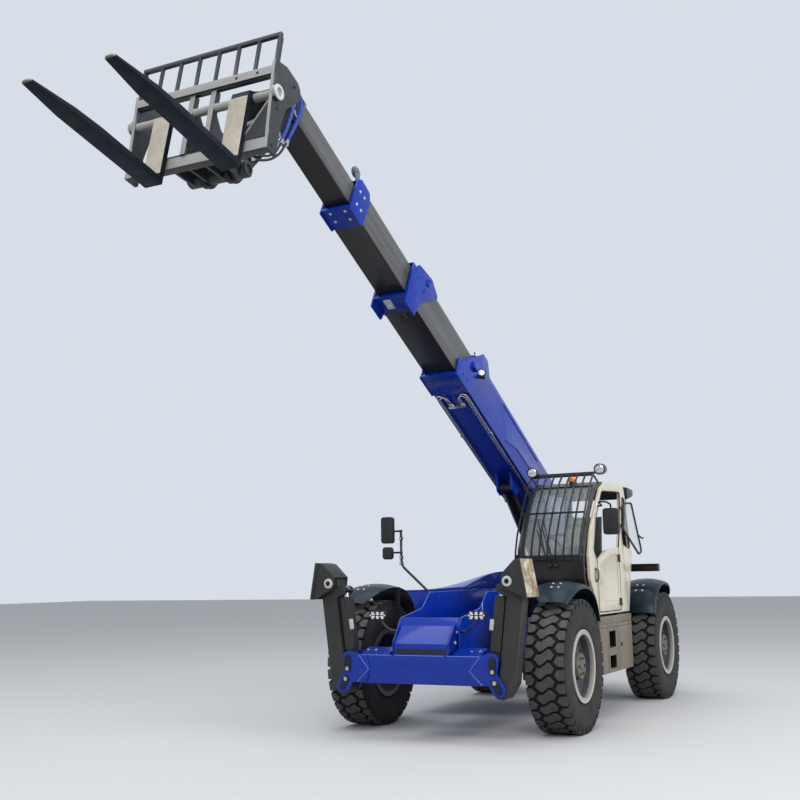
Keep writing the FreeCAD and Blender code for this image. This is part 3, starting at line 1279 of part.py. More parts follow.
cab_bar = block(-1124, -1100, 400, 1170, 2590, 2614)
cab_lamp_pieces = [cab_bar]
for y in (400, 1170):
    cab_lamp_pieces.append(rod(Vec(-1150, y, 2640), Vec(-1060, y, 2632), 60))
    cab_lamp_pieces.append(rod(Vec(-1112, y, 2602), Vec(-1112, y, 2630), 12))
beacon = rod(Vec(-1330, 780, 2490), Vec(-1330, 780, 2612), 44).cut(parts["cab"])
front_lamps = []
for side in (-1, 1):
    stalk = pipe([(830, side * FRAME_HALF, 1000), (830, side * 400, 1000), (860, side * 470, 1050),
                  (868, side * 512, 1120)], 11)
    low_y, high_y = side * 517 - 66, side * 517 + 66
    cluster = prism("x", [(low_y, 1106, 36), (high_y, 1106, 36), (high_y, 1184, 36), (low_y, 1184, 36)],
                    840, 896)
    cells = []
    for column in (-1, 0, 1):
        for row in (-1, 1):
            y, z = side * 517 + column * 38, 1145 + row * 17
            cells.append(rod(Vec(890, y, z), Vec(903, y, z), 15))
    front_lamps.append(fuse([stalk, cluster] + cells))
keep("lamps", "chassis", group([fuse(cab_lamp_pieces).cut(parts["screen_guard"]), beacon] + front_lamps))


# Mirrors and the rear carrier arm

def mirror_head(x0, x1, y0, y1, z0, z1):
    """A mirror's housing with rounded corners, between two corners."""
    bend = 32
    return prism("x", [(y0, z0, bend), (y1, z0, bend), (y1, z1, bend), (y0, z1, bend)], x0, x1)


def mirror_right():
    arm = pipe([(-40, -FRAME_HALF, 1340), (-40, -FRAME_HALF - 70, 1340), (0, -700, 1626), (0, -712, 1700),
                (0, -712, 2010)], 13)
    big = mirror_head(-25, 25, -940, -800, 1868, 2150)
    small = mirror_head(-25, 25, -925, -815, 1700, 1830)
    links = [block(-12, 12, -815, -700, 1986, 2006), block(-12, 12, -820, -700, 1760, 1780)]
    return fuse([arm, big, small] + links)


def mirror_left():
    arm = pipe([(-1062, CAB_LEFT, 2236), (-1062, CAB_LEFT + 50, 2236), (-790, CAB_LEFT + 95, 2262),
                (-800, CAB_LEFT + 170, 2262), (-965, CAB_LEFT + 175, 2240),
                (-965, CAB_LEFT + 175, 2190)], 10)
    head_shape = mirror_head(-1000, -930, 1222, 1388, 1922, 2200)
    return fuse([arm, head_shape])


keep("mirrors", "chassis", group([mirror_right(), mirror_left().cut(parts["cab"]).cut(parts["cab_side"])]))
CARRIER_X = (-WHEELBASE + 350, -WHEELBASE + 450)
keep("rear_carrier", "chassis", fuse([block(*CARRIER_X, FRAME_HALF, 1300, 1532, 1560),
                                      block(*CARRIER_X, FRAME_HALF, 1300, 1596, 1624),
                                      block(*CARRIER_X, 1272, 1300, 1532, 1624),
                                      block(*CARRIER_X, FRAME_HALF, FRAME_HALF + 30, 1360, 1624)]))


# Everything moves so that the origin lies on the ground under the middle of the whole

whole = FreeCAD.BoundBox()
for shape in parts.values():
    whole.add(shape.optimalBoundingBox(False, False))
SHIFT = Vec(-(whole.XMin + whole.XMax) / 2, -(whole.YMin + whole.YMax) / 2, -whole.ZMin)
os.makedirs("parts", exist_ok=True)
for name, shape in parts.items():
    shape.translate(SHIFT)
    shape.exportStep("parts/" + name + ".step")
print(len(parts), "pieces, box", whole.XLength, whole.YLength, whole.ZLength, "shift", SHIFT)
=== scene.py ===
# %% [markdown]
# # Telescopic handler
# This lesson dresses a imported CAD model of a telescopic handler: a long boom with pallet forks on a
# four-wheel chassis. The solids come from CAD and stay where they are. Blender adds what a render needs
# and a solid model leaves out: worn paint, tyre tread, bolts, seals, hoses and cloth.

# %% Load the frame
import json
import math

import bmesh
import bpy
from mathutils import Matrix, Vector

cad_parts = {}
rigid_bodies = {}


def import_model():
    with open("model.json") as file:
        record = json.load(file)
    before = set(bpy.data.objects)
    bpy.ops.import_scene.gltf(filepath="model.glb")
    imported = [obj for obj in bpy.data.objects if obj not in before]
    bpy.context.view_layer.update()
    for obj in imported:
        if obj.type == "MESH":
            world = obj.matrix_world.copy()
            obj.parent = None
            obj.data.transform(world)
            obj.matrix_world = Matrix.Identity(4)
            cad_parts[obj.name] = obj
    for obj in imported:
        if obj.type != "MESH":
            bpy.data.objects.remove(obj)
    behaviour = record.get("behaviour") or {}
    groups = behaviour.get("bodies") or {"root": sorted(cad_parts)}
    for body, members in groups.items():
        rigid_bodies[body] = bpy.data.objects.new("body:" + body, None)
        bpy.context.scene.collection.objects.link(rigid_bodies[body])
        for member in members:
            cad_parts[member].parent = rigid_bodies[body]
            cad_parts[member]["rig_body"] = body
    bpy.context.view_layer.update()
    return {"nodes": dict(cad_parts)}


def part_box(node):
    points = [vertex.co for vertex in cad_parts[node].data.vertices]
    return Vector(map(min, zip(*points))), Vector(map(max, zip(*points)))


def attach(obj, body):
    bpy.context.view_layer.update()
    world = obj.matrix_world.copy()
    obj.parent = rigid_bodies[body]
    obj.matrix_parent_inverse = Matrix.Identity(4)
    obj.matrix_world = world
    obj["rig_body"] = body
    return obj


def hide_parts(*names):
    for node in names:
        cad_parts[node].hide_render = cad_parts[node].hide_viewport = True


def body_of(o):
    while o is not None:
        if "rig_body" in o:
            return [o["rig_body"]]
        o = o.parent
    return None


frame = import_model()
NODES = frame["nodes"]

# %% [markdown]
# ## Where things are
# The model's origin lies under the middle of the whole machine, but a builder measures from the front
# axle. One small function turns such a measure into the model's own place, so every later number can be
# read off a drawing: metres forward of the front axle, to the machine's left, and up from the ground.

# %% Measure from the front axle
left_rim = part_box("rim_front_left")
right_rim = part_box("rim_front_right")
AXLE_X = (left_rim[0][0] + left_rim[1][0]) / 2
MIDDLE_Y = (left_rim[1][1] + right_rim[0][1]) / 2
WHEELBASE = AXLE_X - (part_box("rim_rear_left")[0][0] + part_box("rim_rear_left")[1][0]) / 2


def at(x, y, z):
    """A point measured from the front axle's place on the ground."""
    return Vector((AXLE_X + x, MIDDLE_Y + y, z))


print("front axle at x", round(AXLE_X, 3), "middle at y", round(MIDDLE_Y, 3), "wheelbase", round(WHEELBASE, 3))

# %% [markdown]
# The boom and the fork carriage stand at an angle. Their details are easier to place in their own frames,
# so each gets a matrix: x runs along the boom from its pivot, or along the forks from their heel.

# %% Frames of the boom and the carriage
BOOM_ANGLE = math.radians(27.3)
CARRIAGE_ANGLE = math.radians(13.4)
BOOM = Matrix.Translation(at(-3.70, 0, 1.65)) @ Matrix.Rotation(-BOOM_ANGLE, 4, "Y")
HEAD = BOOM @ Vector((8.317, 0, -1.153))
CARRIAGE = Matrix.Translation(HEAD) @ Matrix.Rotation(-CARRIAGE_ANGLE, 4, "Y") @ Matrix.Translation((0.38, 0, -0.24))
MACHINE = Matrix.Translation(at(0, 0, 0))

# %% [markdown]
# ## Finishes
# Each finish is a small tree of shader nodes that reads Object coordinates, so its pattern stays put on
# the piece. Real paint is never one flat colour: it drifts a little, it has a fine orange-peel grain that
# breaks up the gloss, and it collects dust low down. One helper builds that stack for every hard finish.

# %% Helpers for shader trees
def node(tree, kind, **values):
    """Add a shader node and set its named properties or inputs."""
    made = tree.nodes.new(kind)
    for key, value in values.items():
        if hasattr(made, key):
            setattr(made, key, value)
        else:
            made.inputs[key.replace("_", " ").title()].default_value = value
    return made


def cloud(tree, place, scale, detail=4.0, rough=0.55):
    """Soft noise between 0 and 1."""
    made = node(tree, "ShaderNodeTexNoise")
    made.inputs["Scale"].default_value = scale
    made.inputs["Detail"].default_value = detail
    made.inputs["Roughness"].default_value = rough
    tree.links.new(place, made.inputs["Vector"])
    return made.outputs["Fac"]


def spread(tree, value, low, high, to_low=0.0, to_high=1.0):
    """Map a range of one value to another, clamped."""
    made = node(tree, "ShaderNodeMapRange")
    for i, number in enumerate((low, high, to_low, to_high)):
        made.inputs[i + 1].default_value = number
    tree.links.new(value, made.inputs[0])
    return made.outputs[0]


def sums(tree, operation, a, b=None):
    """One math step between sockets or numbers."""
    made = node(tree, "ShaderNodeMath")
    made.operation = operation
    for i, part in enumerate((a, b)):
        if part is None:
            continue
        if isinstance(part, (int, float)):
            made.inputs[i].default_value = part
        else:
            tree.links.new(part, made.inputs[i])
    return made.outputs[0]


def blend(tree, factor, a, b):
    """Mix two colours, each a socket or a fixed colour."""
    made = node(tree, "ShaderNodeMix")
    made.data_type = "RGBA"
    for i, part in ((0, factor), (6, a), (7, b)):
        if isinstance(part, (tuple, list)):
            made.inputs[i].default_value = (*part, 1.0)
        elif isinstance(part, (int, float)):
            made.inputs[i].default_value = part
        else:
            tree.links.new(part, made.inputs[i])
    return made.outputs[2]


def new_finish(name):
    """A material with its tree, its main shader and its Object coordinates."""
    material = bpy.data.materials.new(name)
    material.use_nodes = True
    tree = material.node_tree
    shader = tree.nodes["Principled BSDF"]
    place = node(tree, "ShaderNodeTexCoord").outputs["Object"]
    return material, tree, shader, place


def local_place(tree, place, matrix):
    """Turn Object coordinates into those of the boom's or the carriage's own frame."""
    made = node(tree, "ShaderNodeMapping")
    back = matrix.inverted()
    made.inputs["Location"].default_value = back.to_translation()
    made.inputs["Rotation"].default_value = back.to_euler()
    tree.links.new(place, made.inputs["Vector"])
    axes = node(tree, "ShaderNodeSeparateXYZ")
    tree.links.new(made.outputs["Vector"], axes.inputs[0])
    return axes.outputs


def bumps(tree, shader, height, depth, strength=1.0):
    """Raise the surface by a height pattern."""
    made = node(tree, "ShaderNodeBump")
    made.inputs["Strength"].default_value = strength
    made.inputs["Distance"].default_value = depth
    tree.links.new(height, made.inputs["Height"])
    tree.links.new(made.outputs["Normal"], shader.inputs["Normal"])


def hard_finish(name, colour, rough=0.4, metal=0.0, coat=0.0, drift=0.10, scale=2.2, grain=240.0, depth=0.0004,
                dust=0.15, dust_colour=(0.30, 0.27, 0.22), dust_top=1.3, two_tone=None, two_colour=(1, 1, 1),
                gloss=0.5, wear=None):
    """Paint, plastic or metal with a drift of colour, a fine grain and dust that thins out upwards."""
    material, tree, shader, place = new_finish(name)
    darker = tuple(c * (1 - drift) for c in colour)
    lighter = tuple(min(1.0, c * (1 + drift)) for c in colour)
    base = blend(tree, cloud(tree, place, scale), darker, lighter)
    if wear is not None:
        base = wear(tree, place, base)
    if two_tone is not None:
        mask = two_tone(tree, place)
        base = blend(tree, mask, base, two_colour)
    axes = node(tree, "ShaderNodeSeparateXYZ")
    tree.links.new(place, axes.inputs[0])
    height = spread(tree, axes.outputs["Z"], 0.1, dust_top, 1.0, 0.12)
    spots = spread(tree, cloud(tree, place, 7.0, 10.0, 0.68), 0.42, 0.72)
    dirty = sums(tree, "MULTIPLY", sums(tree, "MULTIPLY", height, spots), dust)
    tree.links.new(blend(tree, dirty, base, dust_colour), shader.inputs["Base Color"])
    fine = cloud(tree, place, grain, 3.0)
    rougher = sums(tree, "ADD", spread(tree, cloud(tree, place, 11.0, 6.0), 0.3, 0.7, rough * 0.85, rough * 1.2),
                   sums(tree, "MULTIPLY", dirty, 0.5))
    tree.links.new(rougher, shader.inputs["Roughness"])
    shader.inputs["Metallic"].default_value = metal
    shader.inputs["Specular IOR Level"].default_value = gloss
    shader.inputs["Coat Weight"].default_value = coat
    shader.inputs["Coat Roughness"].default_value = 0.08
    bumps(tree, shader, fine, depth)
    return material


# %% [markdown]
# ### Two-tone pieces
# The boom's inner sections are dark, and their collars are blue like the outer section. Both belong to
# one solid, so the finish asks where a point is in the boom's own frame: what stands proud of the box
# section, or lies past the collar's rear edge, is collar. A mask like this needs no seam in the mesh.

# %% Masks for collars and rims
SECTION_HALF_WIDTH = {"boom_2": 0.172, "boom_3": 0.144}
COLLAR_FROM = {"boom_2": 5.585, "boom_3": 6.70}


def collar_mask(name):
    """1 on a section's collar, 0 on its plain box."""
    def build(tree, place):
        along, side, across = local_place(tree, place, BOOM)
        proud = sums(tree, "GREATER_THAN", sums(tree, "ABSOLUTE", side), SECTION_HALF_WIDTH[name] + 0.0008)
        front = sums(tree, "GREATER_THAN", along, COLLAR_FROM[name])
        forward = sums(tree, "GREATER_THAN", along, COLLAR_FROM[name] - 0.6)
        return sums(tree, "MULTIPLY", forward, sums(tree, "MAXIMUM", proud, front))
    return build


SECTION_HALF = {"boom_2": (0.172, 0.195), "boom_3": (0.144, 0.1525), "boom_4": (0.116, 0.1125)}


def pad_wear_and_flank_highlight(name):
    """Paler streaks along a section's sides, partly wear from the pads and partly a painted highlight of the lit
    flanks, and a rusty line at its lower corners.
    """
    half_width, half_height = SECTION_HALF[name]

    def build(tree, place, base):
        along, side, across = local_place(tree, place, BOOM)
        stretched = node(tree, "ShaderNodeCombineXYZ")
        tree.links.new(sums(tree, "MULTIPLY", along, 0.25), stretched.inputs[0])
        tree.links.new(sums(tree, "MULTIPLY", side, 3.0), stretched.inputs[1])
        tree.links.new(sums(tree, "MULTIPLY", across, 7.0), stretched.inputs[2])
        streaks = spread(tree, cloud(tree, stretched.outputs[0], 3.0, 7.0, 0.6), 0.35, 0.65)
        flank = sums(tree, "GREATER_THAN", sums(tree, "ABSOLUTE", side), half_width - 0.0015)
        flank = sums(tree, "MULTIPLY", flank, sums(tree, "LESS_THAN", along, 7.868))
        # The flanks are painted far paler than the box: pad wear streaks and a painted highlight together.
        rubbed_and_highlit = blend(tree, streaks, (0.092, 0.086, 0.082), (0.142, 0.145, 0.150))
        corner = spread(tree, across, -half_height + 0.010, -half_height + 0.026, 1.0, 0.0)
        rubbed_and_highlit = blend(tree, sums(tree, "MULTIPLY", corner, 0.8), rubbed_and_highlit, (0.085, 0.056, 0.034))
        return blend(tree, flank, base, rubbed_and_highlit)
    return build


def rim_edge_mask(tree, place):
    """1 on the outer flange of every rim."""
    axes = node(tree, "ShaderNodeSeparateXYZ")
    tree.links.new(place, axes.inputs[0])
    outward = sums(tree, "ABSOLUTE", sums(tree, "SUBTRACT", axes.outputs["Y"], MIDDLE_Y))
    return sums(tree, "GREATER_THAN", outward, 1.214)


def between(tree, value, low, high):
    """1 where a value lies between two numbers."""
    return sums(tree, "MULTIPLY", sums(tree, "GREATER_THAN", value, low), sums(tree, "LESS_THAN", value, high))


def carriage_highlight_and_shaft_mask(tree, place):
    """1 on the carriage's front faces, painted pale as a painted highlight, and on its bare shaft."""
    along, side, up = local_place(tree, place, CARRIAGE)
    top_bar = sums(tree, "GREATER_THAN", along, -0.0375)
    uprights = sums(tree, "MULTIPLY", between(tree, along, -0.0615, -0.0585), between(tree, up, 0.2, 0.736))
    low_bar = sums(tree, "MULTIPLY", between(tree, along, -0.0815, -0.0785), between(tree, up, 0.145, 0.3))
    lean = sums(tree, "SUBTRACT", along, sums(tree, "MULTIPLY", sums(tree, "SUBTRACT", up, 0.24), 0.08))
    cheeks = sums(tree, "MULTIPLY", sums(tree, "GREATER_THAN", lean, -0.0815),
                  sums(tree, "GREATER_THAN", sums(tree, "ABSOLUTE", side), 0.597))
    reach = sums(tree, "ADD", sums(tree, "POWER", sums(tree, "ABSOLUTE", sums(tree, "ADD", along, 0.092)), 2.0),
                 sums(tree, "POWER", sums(tree, "ABSOLUTE", sums(tree, "SUBTRACT", up, 0.598)), 2.0))
    shaft = sums(tree, "LESS_THAN", reach, 0.0335 ** 2)
    found = top_bar
    for other in (uprights, low_bar, cheeks, shaft):
        found = sums(tree, "MAXIMUM", found, other)
    return found


def shank_mask(tree, place):
    """1 on the front of the fork shanks and on the worn tips, where the black paint has gone."""
    along, side, up = local_place(tree, place, CARRIAGE)
    front = sums(tree, "LESS_THAN", sums(tree, "ABSOLUTE", along), 0.004)
    high = sums(tree, "GREATER_THAN", up, 0.07)
    tips = spread(tree, along, 1.186, 1.196, 0.0, 0.7)
    worn = spread(tree, cloud(tree, place, 9.0, 8.0, 0.7), 0.30, 0.60, 0.75, 1.0)
    return sums(tree, "MULTIPLY", worn, sums(tree, "MAXIMUM", tips, sums(tree, "MULTIPLY", front, high)))


# %% Finishes of the machine
BLUE = (0.0015, 0.031, 0.36)
STEEL_GREY = (0.034, 0.033, 0.033)
SECTION_GREY = (0.023, 0.023, 0.025)
blue_paint = hard_finish("blue_paint", BLUE, 0.3, coat=0.4, drift=0.14, dust=0.03, gloss=0.2)
section_paint = hard_finish("section_paint", SECTION_GREY, 0.36, coat=0.1, drift=0.22, dust=0.05, dust_top=6, gloss=0.15,
                            wear=pad_wear_and_flank_highlight("boom_4"))
collar_paints = {name: hard_finish(name + "_paint", SECTION_GREY, 0.34, coat=0.15, drift=0.2, dust=0.04, gloss=0.15,
                                   two_tone=collar_mask(name), two_colour=BLUE, wear=pad_wear_and_flank_highlight(name))
                 for name in SECTION_HALF_WIDTH}
charcoal_paint = hard_finish("charcoal_paint", STEEL_GREY, 0.5, coat=0.1, drift=0.16, dust=0.1, gloss=0.3)
# The pale second colour of the carriage's slate paint is a painted highlight on its front faces, and bare steel on its
# shaft.
slate_paint = hard_finish("slate_paint", (0.030, 0.034, 0.038), 0.4, coat=0.1, drift=0.16, dust=0.05, gloss=0.3,
                          two_tone=carriage_highlight_and_shaft_mask, two_colour=(0.36, 0.36, 0.345))
cab_paint = hard_finish("cab_paint", (0.018, 0.017, 0.017), 0.34, coat=0.2, dust=0.06, gloss=0.3)
cream_paint = hard_finish("cream_paint", (0.76, 0.67, 0.51), 0.3, coat=0.4, drift=0.04, dust=0.12)
taupe_paint = hard_finish("taupe_paint", (0.195, 0.150, 0.100), 0.42, coat=0.1, drift=0.08, dust=0.1)
black_paint = hard_finish("black_paint", (0.008, 0.008, 0.009), 0.38, coat=0.1, dust=0.04, gloss=0.3)
# The black fork paint is tinted blue as a painted reflection of the sky.
fork_paint = hard_finish("fork_paint", (0.003, 0.008, 0.016), 0.5, dust=0.02, dust_top=7, gloss=0.15,
                         two_tone=shank_mask, two_colour=(0.50, 0.45, 0.38))
axle_paint = hard_finish("axle_paint", (0.012, 0.012, 0.013), 0.55, dust=0.2, gloss=0.3)
rim_paint = hard_finish("rim_paint", (0.075, 0.085, 0.10), 0.34, coat=0.3, dust=0.2, two_tone=rim_edge_mask,
                        two_colour=(0.42, 0.40, 0.36))
fender_plastic = hard_finish("fender_plastic", (0.007, 0.018, 0.030), 0.36, coat=0.08, drift=0.2, dust=0.05,
                             dust_top=2.2, gloss=0.22)
black_plastic = hard_finish("black_plastic", (0.011, 0.011, 0.012), 0.45, dust=0.05, grain=420, depth=0.0008)
bright_steel = hard_finish("bright_steel", (0.55, 0.55, 0.56), 0.2, metal=1.0, drift=0.06, dust=0.05)
engine_paint = hard_finish("engine_paint", (0.10, 0.10, 0.105), 0.5, metal=0.4, dust=0.3)
hose_rubber = hard_finish("hose_rubber", (0.010, 0.010, 0.011), 0.5, grain=300, dust=0.05)
tyre_rubber = hard_finish("tyre_rubber", (0.019, 0.018, 0.017), 0.75, drift=0.2, dust=0.3)
lamp_black = hard_finish("lamp_black", (0.015, 0.015, 0.015), 0.3, coat=0.3, dust=0.03)

# %% [markdown]
# Glass in the cab is slightly grey, clear enough to see the seat, and smooth. A thin pane needs no
# refraction, so the shader mixes a clear pane with a glossy face.

# %% Cab glass
cab_glass, tree, shader, place = new_finish("cab_glass")
shader.inputs["Base Color"].default_value = (0.55, 0.62, 0.61, 1)
shader.inputs["Roughness"].default_value = 0.03
shader.inputs["Alpha"].default_value = 0.20
shader.inputs["IOR"].default_value = 1.5
tint = spread(tree, cloud(tree, place, 1.4), 0.3, 0.7)
tree.links.new(blend(tree, tint, (0.48, 0.56, 0.55), (0.64, 0.70, 0.69)), shader.inputs["Base Color"])

# %% [markdown]
# ### Seat cloth
# A driver's seat has a coarse woven cloth. Two crossed wave bands make the threads, and a little sheen
# lifts the edges as cloth fibres do.

# %% Seat cloth
seat_cloth, tree, shader, place = new_finish("seat_cloth")
weave = []
for direction in ("X", "Z"):
    wave = node(tree, "ShaderNodeTexWave")
    wave.bands_direction = direction
    wave.inputs["Scale"].default_value = 90
    wave.inputs["Distortion"].default_value = 0.6
    tree.links.new(place, wave.inputs["Vector"])
    weave.append(wave.outputs["Fac"])
threads = sums(tree, "MULTIPLY", weave[0], weave[1])
tree.links.new(blend(tree, threads, (0.012, 0.012, 0.013), (0.05, 0.05, 0.052)), shader.inputs["Base Color"])
shader.inputs["Roughness"].default_value = 0.85
shader.inputs["Sheen Weight"].default_value = 0.3
bumps(tree, shader, threads, 0.002)

# %% [markdown]
# ## Dress the solids
# Most CAD nodes have the right shape, so they keep their mesh and only get a finish.

# %% Give each node its finish
FINISH_OF = {
    "chassis": blue_paint, "side_plates": blue_paint, "front_beam": blue_paint, "engine_bay": blue_paint, "hood": blue_paint,
    "boom_1": blue_paint, "boom_2": collar_paints["boom_2"], "boom_3": collar_paints["boom_3"],
    "boom_4": section_paint, "boom_pipes": bright_steel, "counterweight": charcoal_paint, "cab": cab_paint,
    "cab_side": cream_paint, "cab_door": cream_paint, "door_leaf": black_plastic, "cab_glass": cab_glass,
    "screen_guard": black_paint, "seat": seat_cloth, "steering_column": black_plastic, "engine": engine_paint,
    "skirt": taupe_paint, "lamps": lamp_black, "mirrors": black_plastic, "rear_carrier": black_paint,
    "carriage": slate_paint, "forks": fork_paint, "lift_barrel": black_paint, "tilt_barrel": black_paint,
    "lift_rod": bright_steel, "tilt_rod": bright_steel}
FINISH_BY_START = {
    "tyre": tyre_rubber, "rim": rim_paint, "knuckle": axle_paint, "axle": axle_paint, "fender": fender_plastic,
    "stabilizer_rod": bright_steel, "stabilizer": charcoal_paint}


def finish_for(name):
    """The finish of a CAD node, by its name or by the name's start."""
    if name in FINISH_OF:
        return FINISH_OF[name]
    return next(finish for start, finish in FINISH_BY_START.items() if name.startswith(start))


for name, piece in NODES.items():
    piece.data.materials.clear()
    piece.data.materials.append(finish_for(name))
print("finished", len(NODES), "nodes")

# %% [markdown]
# ## Building tools
# Small parts are built straight in the machine's own metres: plates cut from an outline, bars between two
# points, rings turned on an axis and pipes swept along a smooth path. Each tool adds to a mesh under
# construction, in whichever frame it is given, so a bolt on the boom is placed along the boom.

# %% Plates, blocks and bars
def rounded(outline, bend, steps=4):
    """Round the corners of an outline; bend is one radius or one for each corner."""
    bends = [bend] * len(outline) if isinstance(bend, (int, float)) else bend
    result = []
    for i, corner in enumerate(outline):
        here = Vector(corner)
        back = (Vector(outline[i - 1]) - here)
        ahead = (Vector(outline[(i + 1) % len(outline)]) - here)
        half = back.angle(ahead) / 2
        reach = min(bends[i] / math.tan(half), back.length * 0.49, ahead.length * 0.49)
        if reach < 1e-6:
            result.append(here)
            continue
        start, end = here + back.normalized() * reach, here + ahead.normalized() * reach
        for k in range(steps + 1):
            t = k / steps
            result.append(start * (1 - t) ** 2 + here * 2 * t * (1 - t) + end * t * t)
    return result


def plate(bm, place, outline, low, high, axis="y"):
    """Draw an outline out along an axis of the frame called place."""
    order = {"x": lambda a, b, c: (c, a, b), "y": lambda a, b, c: (a, c, b), "z": lambda a, b, c: (a, b, c)}[axis]
    rings = [[bm.verts.new(place @ Vector(order(p[0], p[1], level))) for p in outline] for level in (low, high)]
    count = len(outline)
    bm.faces.new(rings[0])
    bm.faces.new(rings[1][::-1])
    for i in range(count):
        bm.faces.new((rings[0][i], rings[1][i], rings[1][(i + 1) % count], rings[0][(i + 1) % count]))


def block(bm, place, low, high):
    """A block between two corners."""
    plate(bm, place, [(low[0], low[1]), (high[0], low[1]), (high[0], high[1]), (low[0], high[1])],
          low[2], high[2], "z")


def lathe(bm, place, start, way, profile, sides=32):
    """Turn a profile of (along, radius) round the line from start in the direction way."""
    turn = Vector(way).to_track_quat("Z", "Y").to_matrix().to_4x4()
    frame_here = place @ Matrix.Translation(start) @ turn
    rings = []
    for along, radius in profile:
        if radius < 1e-6:
            rings.append([bm.verts.new(frame_here @ Vector((0, 0, along)))])
        else:
            rings.append([bm.verts.new(frame_here @ Vector((radius * math.cos(math.tau * i / sides),
                                                            radius * math.sin(math.tau * i / sides), along)))
                          for i in range(sides)])
    for one, two in zip(rings, rings[1:]):
        for i in range(sides):
            corners = [one[i % len(one)], one[(i + 1) % len(one)], two[(i + 1) % len(two)], two[i % len(two)]]
            unique = list(dict.fromkeys(corners))
            if len(unique) > 2:
                bm.faces.new(unique)
    if profile[0] == profile[-1]:
        bmesh.ops.remove_doubles(bm, verts=rings[0] + rings[-1], dist=1e-6)
        return
    for ring in (rings[0], rings[-1]):
        if len(ring) > 2:
            bm.faces.new(ring)


def bar(bm, place, start, end, radius, sides=20):
    """A round bar between two points."""
    way = Vector(end) - Vector(start)
    lathe(bm, place, start, way, [(0, radius), (way.length, radius)], sides)


# %% Pipes along a smooth path
def smooth_path(points, steps=8):
    """Points on a smooth curve through the given ones."""
    points = [Vector(p) for p in points]
    ends = [points[0] * 2 - points[1]] + points + [points[-1] * 2 - points[-2]]
    path = []
    for a, b, c, d in zip(ends, ends[1:], ends[2:], ends[3:]):
        for k in range(steps):
            t = k / steps
            path.append(0.5 * (2 * b + (c - a) * t + (2 * a - 5 * b + 4 * c - d) * t * t
                               + (3 * b - a - 3 * c + d) * t ** 3))
    return path + [points[-1]]


def pipe(bm, place, path, radius, sides=10):
    """Sweep a round section along a path of points, with flat ends."""
    rings = []
    side = None
    for i, point in enumerate(path):
        way = (path[min(i + 1, len(path) - 1)] - path[max(i - 1, 0)]).normalized()
        side = way.orthogonal().normalized() if side is None else (side - way * side.dot(way)).normalized()
        other = way.cross(side)
        rings.append([bm.verts.new(place @ (point + (side * math.cos(math.tau * k / sides)
                                                     + other * math.sin(math.tau * k / sides)) * radius))
                      for k in range(sides)])
    for one, two in zip(rings, rings[1:]):
        for k in range(sides):
            bm.faces.new((one[k], one[(k + 1) % sides], two[(k + 1) % sides], two[k]))
    bm.faces.new(rings[0][::-1])
    bm.faces.new(rings[-1])


# %% Turn a mesh under construction into a piece
def piece(name, bm, finish, body, ease=0.0, smooth=35, replaces=()):
    """Make one piece that moves with a body, with eased edges and outward faces."""
    bmesh.ops.recalc_face_normals(bm, faces=bm.faces)
    if ease:
        sharp = [e for e in bm.edges if len(e.link_faces) == 2 and e.calc_face_angle(0) > math.radians(28)]
        bmesh.ops.bevel(bm, geom=sharp, offset=ease, segments=2, profile=0.6, affect="EDGES", clamp_overlap=True)
        bmesh.ops.recalc_face_normals(bm, faces=bm.faces)
    data = bpy.data.meshes.new(name)
    bm.to_mesh(data)
    bm.free()
    data.shade_smooth()
    data.set_sharp_from_angle(angle=math.radians(smooth))
    data.materials.append(finish)
    made = bpy.data.objects.new(name, data)
    bpy.context.collection.objects.link(made)
    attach(made, body)
    for old in replaces:
        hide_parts(old)
    return made


BODY_OF = {name: body_of(one)[0] for name, one in NODES.items()}


def softened(name, ease=0.005, finish=None):
    """Stand in for a CAD node with a copy whose facets are joined and whose edges are eased."""
    bm = bmesh.new()
    bm.from_mesh(NODES[name].data)
    bmesh.ops.remove_doubles(bm, verts=bm.verts, dist=2e-5)
    bmesh.ops.dissolve_limit(bm, angle_limit=math.radians(0.5), verts=bm.verts, edges=bm.edges)
    return piece(name + "_eased", bm, finish or finish_for(name), BODY_OF[name], ease, 32, [name])


print("bodies:", sorted(set(BODY_OF.values())))

# %% [markdown]
# ## Tyres
# A loader tyre is a moulded casing with deep blocks. The blocks come in three rows: wide Z-shaped blocks in the
# middle and six-sided ones on both shoulders, half a pitch behind. One pitch is modelled, and Geometry Nodes
# repeats it round the wheel, as the mould's segments do. The casing is one turned profile with the raised
# rings that a mould leaves on the sidewall.

# %% Wheel measures from the frame
low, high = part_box("tyre_front_left")
TYRE_R = (high.z - low.z) / 2
TYRE_HALF = (high.y - low.y) / 2
PITCHES = 32
PITCH = math.tau * TYRE_R / PITCHES
GROOVE = 0.034
BASE_R = TYRE_R - GROOVE


def wheel_centre(corner):
    """The middle of a tyre, in the model's own place."""
    low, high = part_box("tyre_" + corner)
    return (low + high) / 2


CORNERS = {corner: wheel_centre(corner) for corner in ("front_left", "front_right", "rear_left", "rear_right")}
print("tyre radius", round(TYRE_R, 3), "half width", round(TYRE_HALF, 3), "pitch", round(PITCH, 3))

# %% [markdown]
# One lug is a block with sloping sides: wide at its foot, eased at its top edge. Its outline is drawn flat, as
# the tread looks when it is unrolled, and then bent round the tyre.

# %% One pitch of the tread
CENTRE_LUG = [(-0.100, 0.023), (-0.072, -0.025), (-0.038, -0.023), (0.034, -0.077), (0.056, -0.070),
              (0.100, -0.023), (0.072, 0.025), (0.038, 0.023), (-0.034, 0.077), (-0.056, 0.070)]
SHOULDER_LUG = [(0.096, 0.040), (0.126, -0.008), (0.150, -0.012), (0.188, -0.010), (0.188, 0.084),
                (0.150, 0.086), (0.130, 0.082)]


